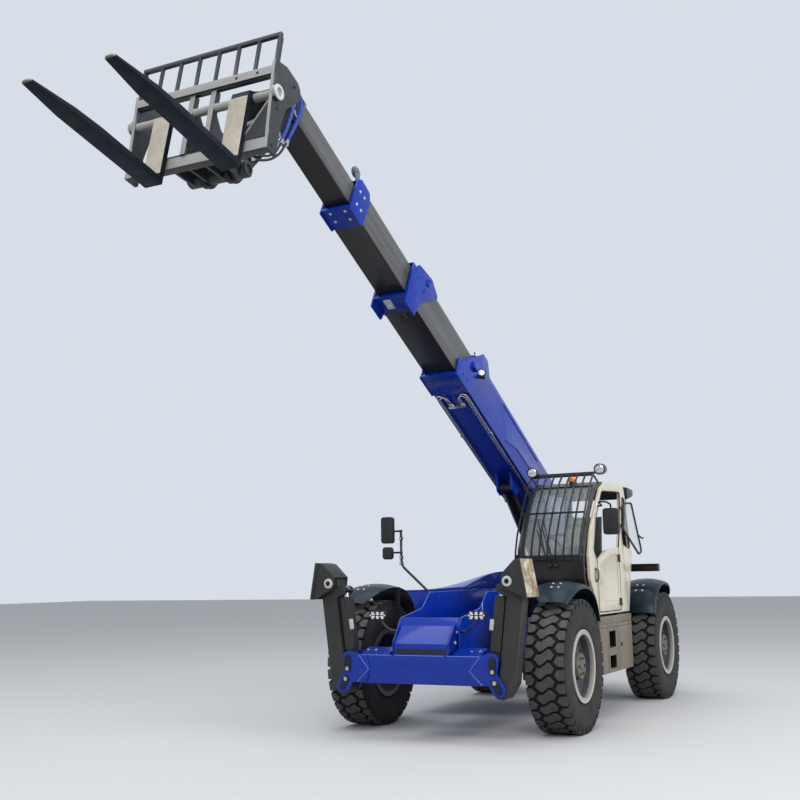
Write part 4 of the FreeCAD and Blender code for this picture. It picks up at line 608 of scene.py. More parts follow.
def lug(bm, outline, foot):
    """A tread block from an outline (across, along); foot is the radius of its base."""
    middle = sum((Vector(p) for p in outline), Vector((0, 0))) / len(outline)
    rings = []
    for scale, radius in ((1.06, foot), (1.0, TYRE_R - 0.006), (0.93, TYRE_R)):
        ring = []
        for p in outline:
            across, along = middle + (Vector(p) - middle) * scale
            across = max(-TYRE_HALF, min(TYRE_HALF, across))
            angle = along / TYRE_R
            ring.append(bm.verts.new((radius * math.sin(angle), across, radius * math.cos(angle))))
        rings.append(ring)
    count = len(outline)
    for one, two in zip(rings, rings[1:]):
        for i in range(count):
            bm.faces.new((one[i], one[(i + 1) % count], two[(i + 1) % count], two[i]))
    bm.faces.new(rings[-1])
    bm.faces.new(rings[0][::-1])


def one_pitch():
    """The blocks of one pitch, at the top of a tyre whose middle is the origin."""
    bm = bmesh.new()
    lug(bm, CENTRE_LUG, BASE_R - 0.004)
    for side in (-1, 1):
        lug(bm, [(side * across, side * along) for across, along in SHOULDER_LUG], BASE_R - 0.045)
    bmesh.ops.recalc_face_normals(bm, faces=bm.faces)
    data = bpy.data.meshes.new("one_pitch")
    bm.to_mesh(data)
    bm.free()
    return data


# %% [markdown]
# The node group takes the one pitch, turns a copy of it by an equal step for each point, makes the copies
# real, moves the ring to the wheel and gives it its rubber.

# %% Geometry Nodes: repeat a pitch round a wheel
def group_socket(group, name, kind, default=None, output=False):
    """Add a named input or output to a node group."""
    made = group.interface.new_socket(name=name, in_out="OUTPUT" if output else "INPUT", socket_type=kind)
    if default is not None:
        made.default_value = default
    return made


def set_inputs(modifier, values):
    """Set a Geometry Nodes modifier's inputs by their sockets' identifiers."""
    for item in modifier.node_group.interface.items_tree:
        if item.item_type == "SOCKET" and item.in_out == "INPUT" and item.name in values:
            modifier[item.identifier] = values[item.name]


def ring_group():
    group = bpy.data.node_groups.new("ring_of_pitches", "GeometryNodeTree")
    group_socket(group, "Pitch", "NodeSocketGeometry")
    group_socket(group, "Pitches", "NodeSocketInt", 24)
    group_socket(group, "Centre", "NodeSocketVector")
    group_socket(group, "Rubber", "NodeSocketMaterial")
    group_socket(group, "Ring", "NodeSocketGeometry", output=True)
    link = group.links.new
    entry, leave = group.nodes.new("NodeGroupInput"), group.nodes.new("NodeGroupOutput")
    points = group.nodes.new("GeometryNodePoints")
    link(entry.outputs["Pitches"], points.inputs["Count"])
    index = group.nodes.new("GeometryNodeInputIndex")
    step = group.nodes.new("ShaderNodeMath")
    step.operation = "DIVIDE"
    step.inputs[0].default_value = math.tau
    link(entry.outputs["Pitches"], step.inputs[1])
    angle = group.nodes.new("ShaderNodeMath")
    angle.operation = "MULTIPLY"
    link(index.outputs[0], angle.inputs[0])
    link(step.outputs[0], angle.inputs[1])
    turn = group.nodes.new("ShaderNodeCombineXYZ")
    link(angle.outputs[0], turn.inputs["Y"])
    single = group.nodes.new("GeometryNodeGeometryToInstance")
    link(entry.outputs["Pitch"], single.inputs[0])
    copies = group.nodes.new("GeometryNodeInstanceOnPoints")
    link(points.outputs[0], copies.inputs["Points"])
    link(single.outputs[0], copies.inputs["Instance"])
    link(turn.outputs[0], copies.inputs["Rotation"])
    real = group.nodes.new("GeometryNodeRealizeInstances")
    link(copies.outputs[0], real.inputs[0])
    shift = group.nodes.new("GeometryNodeTransform")
    link(real.outputs[0], shift.inputs[0])
    link(entry.outputs["Centre"], shift.inputs["Translation"])
    rubber = group.nodes.new("GeometryNodeSetMaterial")
    link(shift.outputs[0], rubber.inputs[0])
    link(entry.outputs["Rubber"], rubber.inputs["Material"])
    link(rubber.outputs[0], leave.inputs[0])
    return group


RING = ring_group()


def grown(name, data, group, values, finish, body, smooth=30):
    """Run a node group on a mesh, keep the result as a plain mesh and let it ride on a body."""
    seed = bpy.data.objects.new(name + "_seed", data)
    bpy.context.collection.objects.link(seed)
    modifier = seed.modifiers.new("repeat", "NODES")
    modifier.node_group = group
    set_inputs(modifier, values)
    graph = bpy.context.evaluated_depsgraph_get()
    result = bpy.data.meshes.new_from_object(seed.evaluated_get(graph))
    bpy.data.objects.remove(seed)
    result.name = name
    result.shade_smooth()
    result.set_sharp_from_angle(angle=math.radians(smooth))
    result.materials.clear()
    result.materials.append(finish)
    made = bpy.data.objects.new(name, result)
    bpy.context.collection.objects.link(made)
    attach(made, body)
    return made


# %% [markdown]
# Tread rubber is grey on the block tops, partly where the road polishes it and partly a painted highlight of the lit
# tops, and black in the grooves.
# The sidewall carries dry brown dust. The finish measures its distance from the wheel's axle to know which is which.

# %% Tyre rubber by distance from the axle
def axle_distance(tree, place):
    """Distance of a point from its own axle line, front or rear."""
    axes = node(tree, "ShaderNodeSeparateXYZ")
    tree.links.new(place, axes.inputs[0])
    front = sums(tree, "GREATER_THAN", axes.outputs["X"], AXLE_X - WHEELBASE / 2)
    axle_x = sums(tree, "ADD", sums(tree, "MULTIPLY", front, WHEELBASE), AXLE_X - WHEELBASE)
    along = sums(tree, "SUBTRACT", axes.outputs["X"], axle_x)
    above = sums(tree, "SUBTRACT", axes.outputs["Z"], TYRE_R)
    square = sums(tree, "ADD", sums(tree, "MULTIPLY", along, along), sums(tree, "MULTIPLY", above, above))
    return sums(tree, "SQRT", square)


def tread_rubber():
    """Rubber with block tops painted grey, partly road wear and partly a painted highlight, black between them and
    dusty on the sidewall.
    """
    material, tree, shader, place = new_finish("tread_rubber")
    distance = axle_distance(tree, place)
    top = spread(tree, distance, TYRE_R - 0.007, TYRE_R - 0.003)
    side = spread(tree, distance, BASE_R - 0.012, BASE_R - 0.05)
    worn = spread(tree, cloud(tree, place, 26.0, 8.0, 0.7), 0.3, 0.7)
    # Grey block tops: partly road wear, partly a painted highlight.
    worn_and_lit_tops = blend(tree, worn, (0.050, 0.051, 0.050), (0.108, 0.107, 0.102))
    walls = blend(tree, spread(tree, cloud(tree, place, 9.0, 8.0, 0.65), 0.35, 0.68), (0.009, 0.009, 0.009),
                  (0.036, 0.031, 0.027))
    colour = blend(tree, top, (0.009, 0.009, 0.009), worn_and_lit_tops)
    colour = blend(tree, side, colour, walls)
    tree.links.new(colour, shader.inputs["Base Color"])
    shader.inputs["Roughness"].default_value = 0.8
    bumps(tree, shader, cloud(tree, place, 160.0, 5.0), 0.001)
    return material


TREAD_RUBBER = tread_rubber()

# %% Casings and treads
RING_LINES = ((0.545, 0.004), (0.470, 0.003), (0.405, 0.004), (0.372, 0.005))
SIDEWALL = [(0.322, 0.150), (0.345, 0.163), (0.362, 0.176), (0.400, 0.186), (0.460, 0.193), (0.508, 0.195),
            (0.545, 0.1925), (0.575, 0.189), (0.592, 0.178), (BASE_R, 0.160), (BASE_R + 0.001, 0.080)]


def casing_profile():
    """The casing's outer skin from bead to bead, as (along the axle, radius), with its raised rings."""
    half = []
    for (r0, y0), (r1, y1) in zip(SIDEWALL, SIDEWALL[1:]):
        for k in range(4):
            t = k / 4
            half.append((y0 + (y1 - y0) * t, r0 + (r1 - r0) * t))
    half.append((SIDEWALL[-1][1], SIDEWALL[-1][0]))
    raised = []
    for y, r in half:
        lift = sum(height * math.exp(-((r - middle) / 0.006) ** 2) for middle, height in RING_LINES)
        raised.append((min(TYRE_HALF, y + lift), r))
    inner = [(0.120, 0.322)]
    outer = [(-y, r) for y, r in raised]
    return inner + raised + outer[::-1] + [(-0.120, 0.322), inner[0]]


for corner, centre in CORNERS.items():
    bm = bmesh.new()
    lathe(bm, Matrix.Identity(4), centre, (0, 1, 0), casing_profile(), 96)
    piece("casing_" + corner, bm, TREAD_RUBBER, "wheel_" + corner, replaces=["tyre_" + corner])
    grown("tread_" + corner, one_pitch(), RING, {"Pitches": PITCHES, "Centre": tuple(centre),
                                                "Rubber": TREAD_RUBBER}, TREAD_RUBBER, "wheel_" + corner)
print("tyres:", len(CORNERS), "with", PITCHES, "pitches each")

# %% [markdown]
# ## Eased plates
# A CAD solid has corners of zero radius, but a cut and welded plate has a small bright edge that catches the
# sky. Each large piece gets a copy with its facets joined and its edges eased by a few millimetres.

# %% Ease the edges of the plate work
EASED = {"side_plates": 0.006, "chassis": 0.004, "front_beam": 0.005, "boom_1": 0.006, "boom_2": 0.005,
         "boom_3": 0.005, "boom_4": 0.004, "engine_bay": 0.006, "cab": 0.007, "cab_side": 0.006,
         "cab_door": 0.005, "skirt": 0.004, "counterweight": 0.014, "carriage": 0.004, "forks": 0.006,
         "rear_carrier": 0.003, "mirrors": 0.004, "screen_guard": 0.0025}
for side in ("left", "right"):
    EASED.update({"stabilizer_leg_" + side: 0.006, "stabilizer_foot_" + side: 0.005,
                  "stabilizer_barrel_" + side: 0.005})
for name, ease in EASED.items():
    softened(name, ease)
print("eased:", len(EASED))

# %% [markdown]
# ## Bolts
# Bolt heads come in dozens. Each place is noted as a point with the way that it faces and its size. A node
# group puts one hexagon head with a washer on every point, so a whole body's bolts are one mesh.

# %% Geometry Nodes: a bolt head on every point
def bolt_group():
    group = bpy.data.node_groups.new("bolts_on_points", "GeometryNodeTree")
    group_socket(group, "Points", "NodeSocketGeometry")
    group_socket(group, "Head height", "NodeSocketFloat", 0.7)
    group_socket(group, "Washer radius", "NodeSocketFloat", 1.45)
    group_socket(group, "Steel", "NodeSocketMaterial")
    group_socket(group, "Bolts", "NodeSocketGeometry", output=True)
    link = group.links.new
    entry, leave = group.nodes.new("NodeGroupInput"), group.nodes.new("NodeGroupOutput")
    shapes = group.nodes.new("GeometryNodeJoinGeometry")
    for sides, radius, depth in ((6, 1.0, "Head height"), (20, "Washer radius", 0.18)):
        disc = group.nodes.new("GeometryNodeMeshCylinder")
        disc.inputs["Vertices"].default_value = sides
        for value, socket in ((radius, "Radius"), (depth, "Depth")):
            if isinstance(value, str):
                link(entry.outputs[value], disc.inputs[socket])
            else:
                disc.inputs[socket].default_value = value
        lift = group.nodes.new("GeometryNodeTransform")
        lift.inputs["Translation"].default_value = (0, 0, 0.45 if sides == 6 else 0.09)
        link(disc.outputs["Mesh"], lift.inputs[0])
        link(lift.outputs[0], shapes.inputs[0])
    facing = group.nodes.new("GeometryNodeInputNamedAttribute")
    facing.data_type = "FLOAT_VECTOR"
    facing.inputs["Name"].default_value = "facing"
    size = group.nodes.new("GeometryNodeInputNamedAttribute")
    size.data_type = "FLOAT"
    size.inputs["Name"].default_value = "size"
    turn = group.nodes.new("FunctionNodeAlignRotationToVector")
    turn.axis = "Z"
    link(facing.outputs[0], turn.inputs["Vector"])
    copies = group.nodes.new("GeometryNodeInstanceOnPoints")
    link(entry.outputs["Points"], copies.inputs["Points"])
    link(shapes.outputs[0], copies.inputs["Instance"])
    link(turn.outputs[0], copies.inputs["Rotation"])
    link(size.outputs[0], copies.inputs["Scale"])
    real = group.nodes.new("GeometryNodeRealizeInstances")
    link(copies.outputs[0], real.inputs[0])
    steel = group.nodes.new("GeometryNodeSetMaterial")
    link(real.outputs[0], steel.inputs[0])
    link(entry.outputs["Steel"], steel.inputs["Material"])
    link(steel.outputs[0], leave.inputs[0])
    return group


BOLTS = bolt_group()
bolts = {}


def bolt(body, place, point, facing, size=0.012, finish=None):
    """Note one bolt on a body; point and facing are in the frame called place."""
    way = (place.to_3x3() @ Vector(facing)).normalized()
    bolts.setdefault((body, finish or bright_steel), []).append((place @ Vector(point), way, size))


def make_bolts():
    """Turn all the noted bolts into one mesh for each body and finish."""
    for (body, finish), rows in bolts.items():
        data = bpy.data.meshes.new("bolt_points")
        data.from_pydata([row[0] for row in rows], [], [])
        data.attributes.new("facing", "FLOAT_VECTOR", "POINT").data.foreach_set(
            "vector", [value for row in rows for value in row[1]])
        data.attributes.new("size", "FLOAT", "POINT").data.foreach_set("value", [row[2] for row in rows])
        name = "bolts_" + body + "_" + finish.name
        grown(name, data, BOLTS, {"Head height": 0.7, "Washer radius": 1.45, "Steel": finish}, finish, body)
    print("bolts:", sum(len(rows) for rows in bolts.values()))


# %% [markdown]
# ## Front crossbeam
# The two ears at each end of the beam hold the stabilizer's pins. A black keeper plate with a pin bolt and a
# bright bolt beside it stops each pin from turning. The keepers are flat bars with round ends.

# %% Keeper plates, beam bolts and painted edge highlights
MIRROR = Matrix.Scale(-1, 4, (0, 1, 0))
SIDES = {"left": MACHINE, "right": MACHINE @ MIRROR}
EAR_FACE = 1.095
PINS = {"leg": ((0.809, 0.487), (-0.041, 0.073)), "ram": ((0.748, 0.761), (0.001, -0.105))}


def capsule(start, end, radius, steps=8):
    """The outline of a flat bar with round ends, in two coordinates."""
    start, end = Vector(start), Vector(end)
    way = math.atan2(end.y - start.y, end.x - start.x)
    outline = []
    for middle, turn in ((end, way - math.pi / 2), (start, way + math.pi / 2)):
        for k in range(steps + 1):
            angle = turn + math.pi * k / steps
            outline.append((middle.x + radius * math.cos(angle), middle.y + radius * math.sin(angle)))
    return outline


WASHER = hard_finish("washer_paint", (0.62, 0.62, 0.60), 0.35, drift=0.05, dust=0.1)
BEAM_FACE = 1.0765
# Thin pale blue strips along the beam's V-edges and top front edge are painted highlights of those edges.
edge_highlight_paint = hard_finish("edge_highlight_paint", (0.10, 0.20, 0.62), 0.3, coat=0.3, drift=0.1, dust=0.02)
for side, place in SIDES.items():
    bm = bmesh.new()
    pipe(bm, place, [Vector((EAR_FACE + 0.001, y, z)) for y, z in ((0.622, 0.780), (0.522, 0.656), (0.645, 0.535))], 0.005, 8)
    pipe(bm, place, [Vector((BEAM_FACE - 0.004, y, 0.785)) for y in (0.29, 0.62)], 0.004, 8)
    if side == "left":
        pipe(bm, place, [Vector((BEAM_FACE - 0.004, y, 0.785)) for y in (-0.25, 0.25)], 0.004, 8)
    piece("beam_edge_highlights_" + side, bm, edge_highlight_paint, "chassis", smooth=60)
    bm = bmesh.new()
    for (y, z), (dy, dz) in PINS.values():
        plate(bm, place, capsule((y, z), (y + dy, z + dz), 0.034), EAR_FACE, EAR_FACE + 0.012, "x")
        bolt("chassis", place, (EAR_FACE + 0.014, y, z), (1, 0, 0), 0.014, black_paint)
        bolt("chassis", place, (EAR_FACE + 0.012, y + dy, z + dz), (1, 0, 0), 0.013)
    piece("keepers_" + side, bm, black_paint, "chassis", 0.002)
    for y in (0.50, 0.585):
        bolt("chassis", place, (0.975, y, 0.824), (0.36, 0, 0.93), 0.011)
    for x, z in ((0.843, 0.993), (0.896, 0.897)):
        bolt("chassis", place, (x, 0.296, z), (0, 1, 0), 0.012, WASHER)
    for x, z in ((0.46, 1.05), (0.46, 0.90), (-0.40, 1.28), (-0.40, 1.10), (-2.35, 1.28), (-2.62, 1.28)):
        bolt("chassis", place, (x, 0.331, z), (0, 1, 0), 0.010, blue_paint)

# %% [markdown]
# The centre box has thin cheek plates that stand a little above its sloping lid, and a folded strip below.
# A thin black sheet under it is painted shade for the dark gap where hoses run. On each stabilizer a small pale
# reflector faces forward.

# %% Cheek plates, lid and front lamps
bm = bmesh.new()
for side in (-1, 1):
    cheek = rounded([(0.81, 0.80), (1.034, 0.80), (1.034, 0.905), (0.895, 1.062), (0.81, 1.062)], 0.012)
    y0, y1 = sorted((side * 0.286, side * 0.296))
    plate(bm, MACHINE, cheek, y0, y1, "y")
plate(bm, MACHINE, [(1.024, 0.842), (1.030, 0.842), (1.030, 0.890), (0.880, 1.052), (0.874, 1.048),
                    (1.024, 0.888)], -0.272, 0.272, "y")
piece("box_lid", bm, blue_paint, "chassis", 0.0015)
# A thin black sheet below the lid's folded strip is painted shade for the gap.
bm = bmesh.new()
block(bm, MACHINE, (1.0215, -0.262, 0.795), (1.0235, 0.262, 0.838))
piece("box_gap_shade", bm, black_plastic, "chassis")

LENS = hard_finish("lamp_lens", (0.86, 0.87, 0.88), 0.12, coat=0.8, drift=0.03, dust=0.05)
CHROME = hard_finish("lamp_chrome", (0.72, 0.72, 0.73), 0.12, metal=1.0, drift=0.03, dust=0.05)
for side, place in SIDES.items():
    cluster = place @ Matrix.Translation((0.9, 0.522, 1.148))
    bm, shell = bmesh.new(), bmesh.new()
    plate(shell, cluster, capsule((-0.052, 0), (0.052, 0), 0.043, 12), -0.022, 0.003, "x")
    plate(shell, cluster, capsule((-0.045, 0), (0.045, 0), 0.034, 12), -0.040, -0.021, "x")
    for row in (-1, 1):
        for middle in (-0.044, 0.0, 0.044):
            low, high, lean = row * 0.004, row * 0.033, middle * 0.28
            cell = [(middle - 0.017, low), (middle + 0.017, low), (middle + lean + 0.013, high),
                    (middle + lean - 0.013, high)]
            plate(bm, cluster, rounded(cell, 0.004), 0.002, 0.006, "x")
        end = row * 0.068
        plate(bm, cluster, rounded([(end, -0.014), (end + row * 0.020, 0.0), (end, 0.014)], 0.003), 0.002, 0.006, "x")
    piece("cluster_lenses_" + side, bm, LENS, "chassis", 0.001)
    piece("cluster_shell_" + side, shell, black_plastic, "chassis", 0.003)
    slot_x, slot_y = (0.304, 0.331) if side == "left" else (0.096, 0.329)
    lie = MACHINE @ Matrix.Translation((slot_x, slot_y if side == "left" else -slot_y, 0))
    bm = bmesh.new()
    block(bm, lie, (-0.004, -0.002, 1.180), (0.004, 0.004, 1.250))
    piece("plate_slot_" + side, bm, WASHER, "chassis", 0.001)
    bolt("chassis", lie, (0, 0.002, 1.165), (0, 1, 0), 0.007, WASHER)

# %% [markdown]
# ## Stabilizers
# The foot swings on a pin with a pale washer round a dark hub. Its sole has lost its paint on rough ground
# and shows tan primer and rust, most of all on the left foot.

# %% Foot pins, reflectors and worn soles
def worn_sole():
    """Bare tan plate with pale scratches and rust spots."""
    material, tree, shader, place = new_finish("worn_sole")
    stretch = node(tree, "ShaderNodeMapping")
    stretch.inputs["Scale"].default_value = (1.0, 1.0, 0.25)
    tree.links.new(place, stretch.inputs["Vector"])
    streaks = spread(tree, cloud(tree, stretch.outputs[0], 18.0, 9.0, 0.7), 0.38, 0.62)
    spots = spread(tree, cloud(tree, place, 9.0, 8.0, 0.7), 0.50, 0.62)
    base = blend(tree, streaks, (0.20, 0.115, 0.048), (0.46, 0.36, 0.22))
    base = blend(tree, spots, base, (0.70, 0.66, 0.58))
    tree.links.new(base, shader.inputs["Base Color"])
    shader.inputs["Roughness"].default_value = 0.7
    bumps(tree, shader, streaks, 0.001)
    return material


WORN_SOLE = worn_sole()
REFLECTOR = hard_finish("reflector", (0.62, 0.60, 0.52), 0.2, coat=0.7, drift=0.04, dust=0.05)
LEG_PIN, FOOT_PIN = Vector((0.809, 0.487)), Vector((0.932, 1.461))
LEG_UP = (FOOT_PIN - LEG_PIN).normalized()


def leg_frame(place):
    """A stabilizer's own frame: x as the machine's, y out from the leg and z up along it."""
    axes = Matrix(((1, 0, 0), (0, LEG_UP.y, LEG_UP.x), (0, -LEG_UP.x, LEG_UP.y))).to_4x4()
    return place @ Matrix.Translation((0, LEG_PIN.x, LEG_PIN.y)) @ axes


FOOT_FACE = 1.140
PIN_UP = (FOOT_PIN - LEG_PIN).length
for side, place in SIDES.items():
    leg = leg_frame(place)
    bm = bmesh.new()
    lathe(bm, leg, (FOOT_FACE, 0, PIN_UP), (1, 0, 0), [(0.0, 0.024), (0.0, 0.046), (0.006, 0.048), (0.012, 0.044),
                                                      (0.014, 0.024), (0.0, 0.024)], 32)
    piece("pin_washer_" + side, bm, WASHER, "leg_" + side)
    bolt("leg_" + side, leg, (FOOT_FACE + 0.008, 0, PIN_UP), (1, 0, 0), 0.013, black_paint)
    bm = bmesh.new()
    skin = [(out + 0.9565 * proud, up + 0.2917 * proud) for out, up, proud in (
        (0.112, 1.194, -0.004), (0.112, 1.194, 0.003), (0.212, 0.865, 0.003), (0.212, 0.865, -0.004))]
    plate(bm, leg, skin, 0.856, 1.160, "x")
    piece("sole_wear_" + side, bm, WORN_SOLE if side == "left" else finish_for("stabilizer_foot_left"),
          "foot_" + side)
    bm = bmesh.new()
    block(bm, leg, (1.030, -0.168, 0.52), (1.052, -0.128, 0.62))
    piece("reflector_" + side, bm, REFLECTOR, "ram_" + side, 0.008)


# %% [markdown]
# ## Engine hood
# The hood is a pressed sheet over the engine bay. Its top rises towards the boom's pivot and falls off
# outwards, so the driver sees past it. A grid of points takes its height from two small rules, and the sheet
# gets its thickness at the end.

# %% Hood
HOOD = {"front": -0.861, "rear": -2.439, "outer": -1.129, "inner": -0.3705, "low": 1.3506}


def hood_height(x, y):
    """Height of the hood's top above its rim."""
    along = (HOOD["front"] - x) / (HOOD["front"] - HOOD["rear"])
    crest = 0.028 + 0.168 * math.sin(min(along / 0.76, 1.0) * math.pi / 2) - 0.09 * max(0.0, (along - 0.76) / 0.24) ** 2
    ramp = min(1.0, max(0.0, (y + 0.95) / 0.55))
    return 0.014 + crest * (3 * ramp ** 2 - 2 * ramp ** 3) * 0.35 + crest * ramp * 0.65


bm = bmesh.new()
ROWS, COLUMNS = 30, 16
grid = []
for i in range(ROWS + 1):
    x = HOOD["front"] + (HOOD["rear"] - HOOD["front"]) * i / ROWS
    row = []
    for j in range(COLUMNS + 1):
        y = HOOD["outer"] + (HOOD["inner"] - HOOD["outer"]) * j / COLUMNS
        row.append(bm.verts.new(MACHINE @ Vector((x, y, HOOD["low"] + hood_height(x, y)))))
    grid.append(row)
for i in range(ROWS):
    for j in range(COLUMNS):
        bm.faces.new((grid[i][j], grid[i][j + 1], grid[i + 1][j + 1], grid[i + 1][j]))
border = [v for v in grid[0]] + [r[-1] for r in grid[1:]] + grid[-1][-2::-1] + [r[0] for r in grid[-2:0:-1]]
feet = [bm.verts.new((v.co.x, v.co.y, HOOD["low"])) for v in border]
for k in range(len(border)):
    n = (k + 1) % len(border)
    bm.faces.new((border[k], feet[k], feet[n], border[n]))
bmesh.ops.recalc_face_normals(bm, faces=bm.faces)
bmesh.ops.solidify(bm, geom=bm.faces[:], thickness=0.005)
for x in (-1.12, -2.18):
    bar(bm, MACHINE, (x, -0.354, 1.362), (x + 0.09, -0.354, 1.362), 0.011, 16)
    block(bm, MACHINE, (x, -0.373, 1.357), (x + 0.09, -0.354, 1.367))
piece("hood_skin", bm, blue_paint, "hood", 0.003, smooth=40, replaces=["hood"])
# %% [markdown]
# ## Hubs
# The rim's disc carries a brown-grey hub cap with a ring of wheel nuts. The nuts are painted dark and sit in
# the dish, behind the pale flange.

# %% Wheel nuts and hub caps
HUB_OUT = 0.160
DISC_OUT = 0.070
RING_PAINT = hard_finish("ring_paint", (0.62, 0.58, 0.50), 0.4, coat=0.2, drift=0.06, dust=0.35)
STEEL_BOLT = hard_finish("nut_paint", (0.09, 0.09, 0.09), 0.45, dust=0.3)
hub_paint = hard_finish("hub_paint", (0.115, 0.098, 0.082), 0.5, coat=0.1, dust=0.4)
for corner, centre in CORNERS.items():
    side = 1 if centre.y > MIDDLE_Y else -1
    wheel = Matrix.Translation((centre.x, MIDDLE_Y + side * 1.065, centre.z))
    bm = bmesh.new()
    lathe(bm, wheel, (0, 0, 0), (0, side, 0), [(HUB_OUT + 0.012, 0.0), (HUB_OUT + 0.012, 0.036),
                                               (HUB_OUT + 0.003, 0.042), (HUB_OUT + 0.003, 0.118),
                                               (HUB_OUT - 0.010, 0.128), (HUB_OUT - 0.050, 0.1300),
                                               (HUB_OUT - 0.054, 0.1535), (DISC_OUT + 0.002, 0.1545),
                                               (DISC_OUT + 0.002, 0.150)], 48)
    piece("hub_cap_" + corner, bm, hub_paint, "wheel_" + corner)
    # The six black bolt heads on the hub cap are painted shade for its dark holes.
    for k in range(6):
        angle = math.tau * k / 6
        spot = (0.082 * math.cos(angle), side * (HUB_OUT + 0.002), 0.082 * math.sin(angle))
        bolt("wheel_" + corner, wheel, spot, (0, side, 0), 0.012, black_paint)
    for k in range(12):
        angle = math.tau * (k + 0.5) / 12
        spot = (0.178 * math.cos(angle), side * (DISC_OUT + 0.001), 0.178 * math.sin(angle))
        bolt("wheel_" + corner, wheel, spot, (0, side, 0), 0.011, STEEL_BOLT)
    bm = bmesh.new()
    lathe(bm, wheel, (0, 0, 0), (0, side, 0), [(0.186, 0.333), (0.1905, 0.335), (0.1925, 0.341), (0.190, 0.347),
                                               (0.186, 0.347), (0.186, 0.333)], 72)
    piece("lock_ring_" + corner, bm, RING_PAINT, "wheel_" + corner)
print("hubs done")

# %% [markdown]
# ## Fenders
# The fenders are rotational-moulded plastic, so they are crowned across and end in a rolled lip. One sheet is
# lofted: a path over the tyre gives the stations, and at each one a cross section bulges up in the middle and
# turns down at the outer edge. Four pale bolts hold it to its bracket.

# %% Crowned fenders
FENDER_PATH = [(0.560, 1.040), (0.510, 1.160), (0.425, 1.280), (0.300, 1.365), (0.140, 1.402), (-0.030, 1.404),
               (-0.180, 1.380), (-0.300, 1.325), (-0.390, 1.245)]
FENDER_IN, FENDER_OUT, FENDER_WALL, CROWN = 0.815, 1.268, 0.007, 0.040


def fender_point(path, i, t):
    """A point on the fender's skin and the way out of it: i counts along the path and t runs from 0 to 1 across."""
    last = len(path) - 1
    way = (path[min(i + 1, last)] - path[max(i - 1, 0)]).normalized()
    out = Vector((way.z, 0, -way.x))
    ahead = max(0.0, (i / last - 0.62) / 0.38)
    inner = FENDER_IN + 0.150 * ahead ** 2
    outer = FENDER_OUT - 0.050 * ahead ** 3
    crown = CROWN * min(1.0, 0.45 + 2.0 * min(i, last - i) / last)
    rise = crown * math.sin(math.pi * min(1.0, t * 0.96)) ** 0.8 - 0.012 * t ** 6
    return path[i] + out * rise + Vector((0, inner + (outer - inner) * t, 0)), out


def fender(bm, place):
    """A crowned sheet over the tyre; x runs towards the cab and y away from the machine's middle."""
    path = smooth_path([(x, 0, z) for x, z in FENDER_PATH], 5)
    columns = 15
    skins = []
    for wall in (0.0, FENDER_WALL):
        grid = []
        for i in range(len(path)):
            row = []
            for j in range(columns):
                point, out = fender_point(path, i, j / (columns - 1))
                row.append(bm.verts.new(place @ (point - out * wall)))
            for shift, drop in ((0.003, 0.010), (0.005, 0.030)):
                point, out = fender_point(path, i, 1.0)
                row.append(bm.verts.new(place @ (point + Vector((0, shift - wall, 0)) - out * drop)))
            grid.append(row)
        skins.append(grid)
    rows, columns = len(path), columns + 2
    for grid in skins:
        for i in range(rows - 1):
            for j in range(columns - 1):
                bm.faces.new((grid[i][j], grid[i + 1][j], grid[i + 1][j + 1], grid[i][j + 1]))
    one, two = skins
    for i in range(rows - 1):
        for j in (0, columns - 1):
            bm.faces.new((one[i][j], one[i + 1][j], two[i + 1][j], two[i][j]))
    for j in range(columns - 1):
        for i in (0, rows - 1):
            bm.faces.new((one[i][j], one[i][j + 1], two[i][j + 1], two[i][j]))
    return path


for corner, centre in CORNERS.items():
    side = 1 if centre.y > MIDDLE_Y else -1
    front = centre.x > AXLE_X - WHEELBASE / 2
    place = (Matrix.Translation((centre.x, MIDDLE_Y, 0)) @ Matrix.Scale(side, 4, (0, 1, 0))
             @ Matrix.Scale(-1 if front else 1, 4, (1, 0, 0)))
    bm = bmesh.new()
    path = fender(bm, place)
    piece("fender_skin_" + corner, bm, fender_plastic, "steer_" + corner, smooth=60,
          replaces=["fender_" + corner])
    if front:
        for i, t in ((29, 0.45), (29, 0.62), (32, 0.45), (32, 0.62)):
            point, out = fender_point(path, i, t)
            bolt("steer_" + corner, place, point, out, 0.009, WASHER)
    else:
        for i, t in ((10, 0.45), (10, 0.62), (13, 0.45), (13, 0.62)):
            point, out = fender_point(path, i, t)
            bolt("steer_" + corner, place, point, out, 0.009, WASHER)
print("fenders done")

# %% [markdown]
# ## Cab
# The cab's front is dark and its side frame and door are cream. Rubber seals close the glass and the door.
# Two wipers rest side by side on the windscreen, and an oval recess holds the door's grip.

# %% Seals, door furniture and wipers
CAB_LEFT, CAB_RIGHT = 1.130, 0.362


def outline_seal(bm, place, outline, level, width):
    """A rubber strip that follows a closed outline."""
    path = [Vector((p[0], level, p[1])) for p in outline]
    pipe(bm, place, path + path[:2], width, 6)


DOOR_OPENING = [(-0.985, 1.109), (-0.985, 1.640), (-0.862, 1.764), (-1.010, 2.130), (-1.240, 2.410),
                (-1.960, 2.440), (-1.885, 2.000), (-1.812, 1.800), (-1.812, 1.109)]
DOOR_BENDS = [0.04, 0.03, 0.06, 0.20, 0.12, 0.06, 0.06, 0.02, 0.03]
bm = bmesh.new()
outline_seal(bm, MACHINE, rounded(DOOR_OPENING, DOOR_BENDS), CAB_LEFT - 0.004, 0.0075)
QUARTER = [(-1.990, 1.840), (-2.270, 1.790), (-2.120, 2.370), (-2.030, 2.390), (-1.950, 2.010)]
outline_seal(bm, MACHINE, rounded(QUARTER, 0.04), CAB_LEFT - 0.004, 0.008)
piece("cab_seals", bm, black_plastic, "chassis", smooth=60)
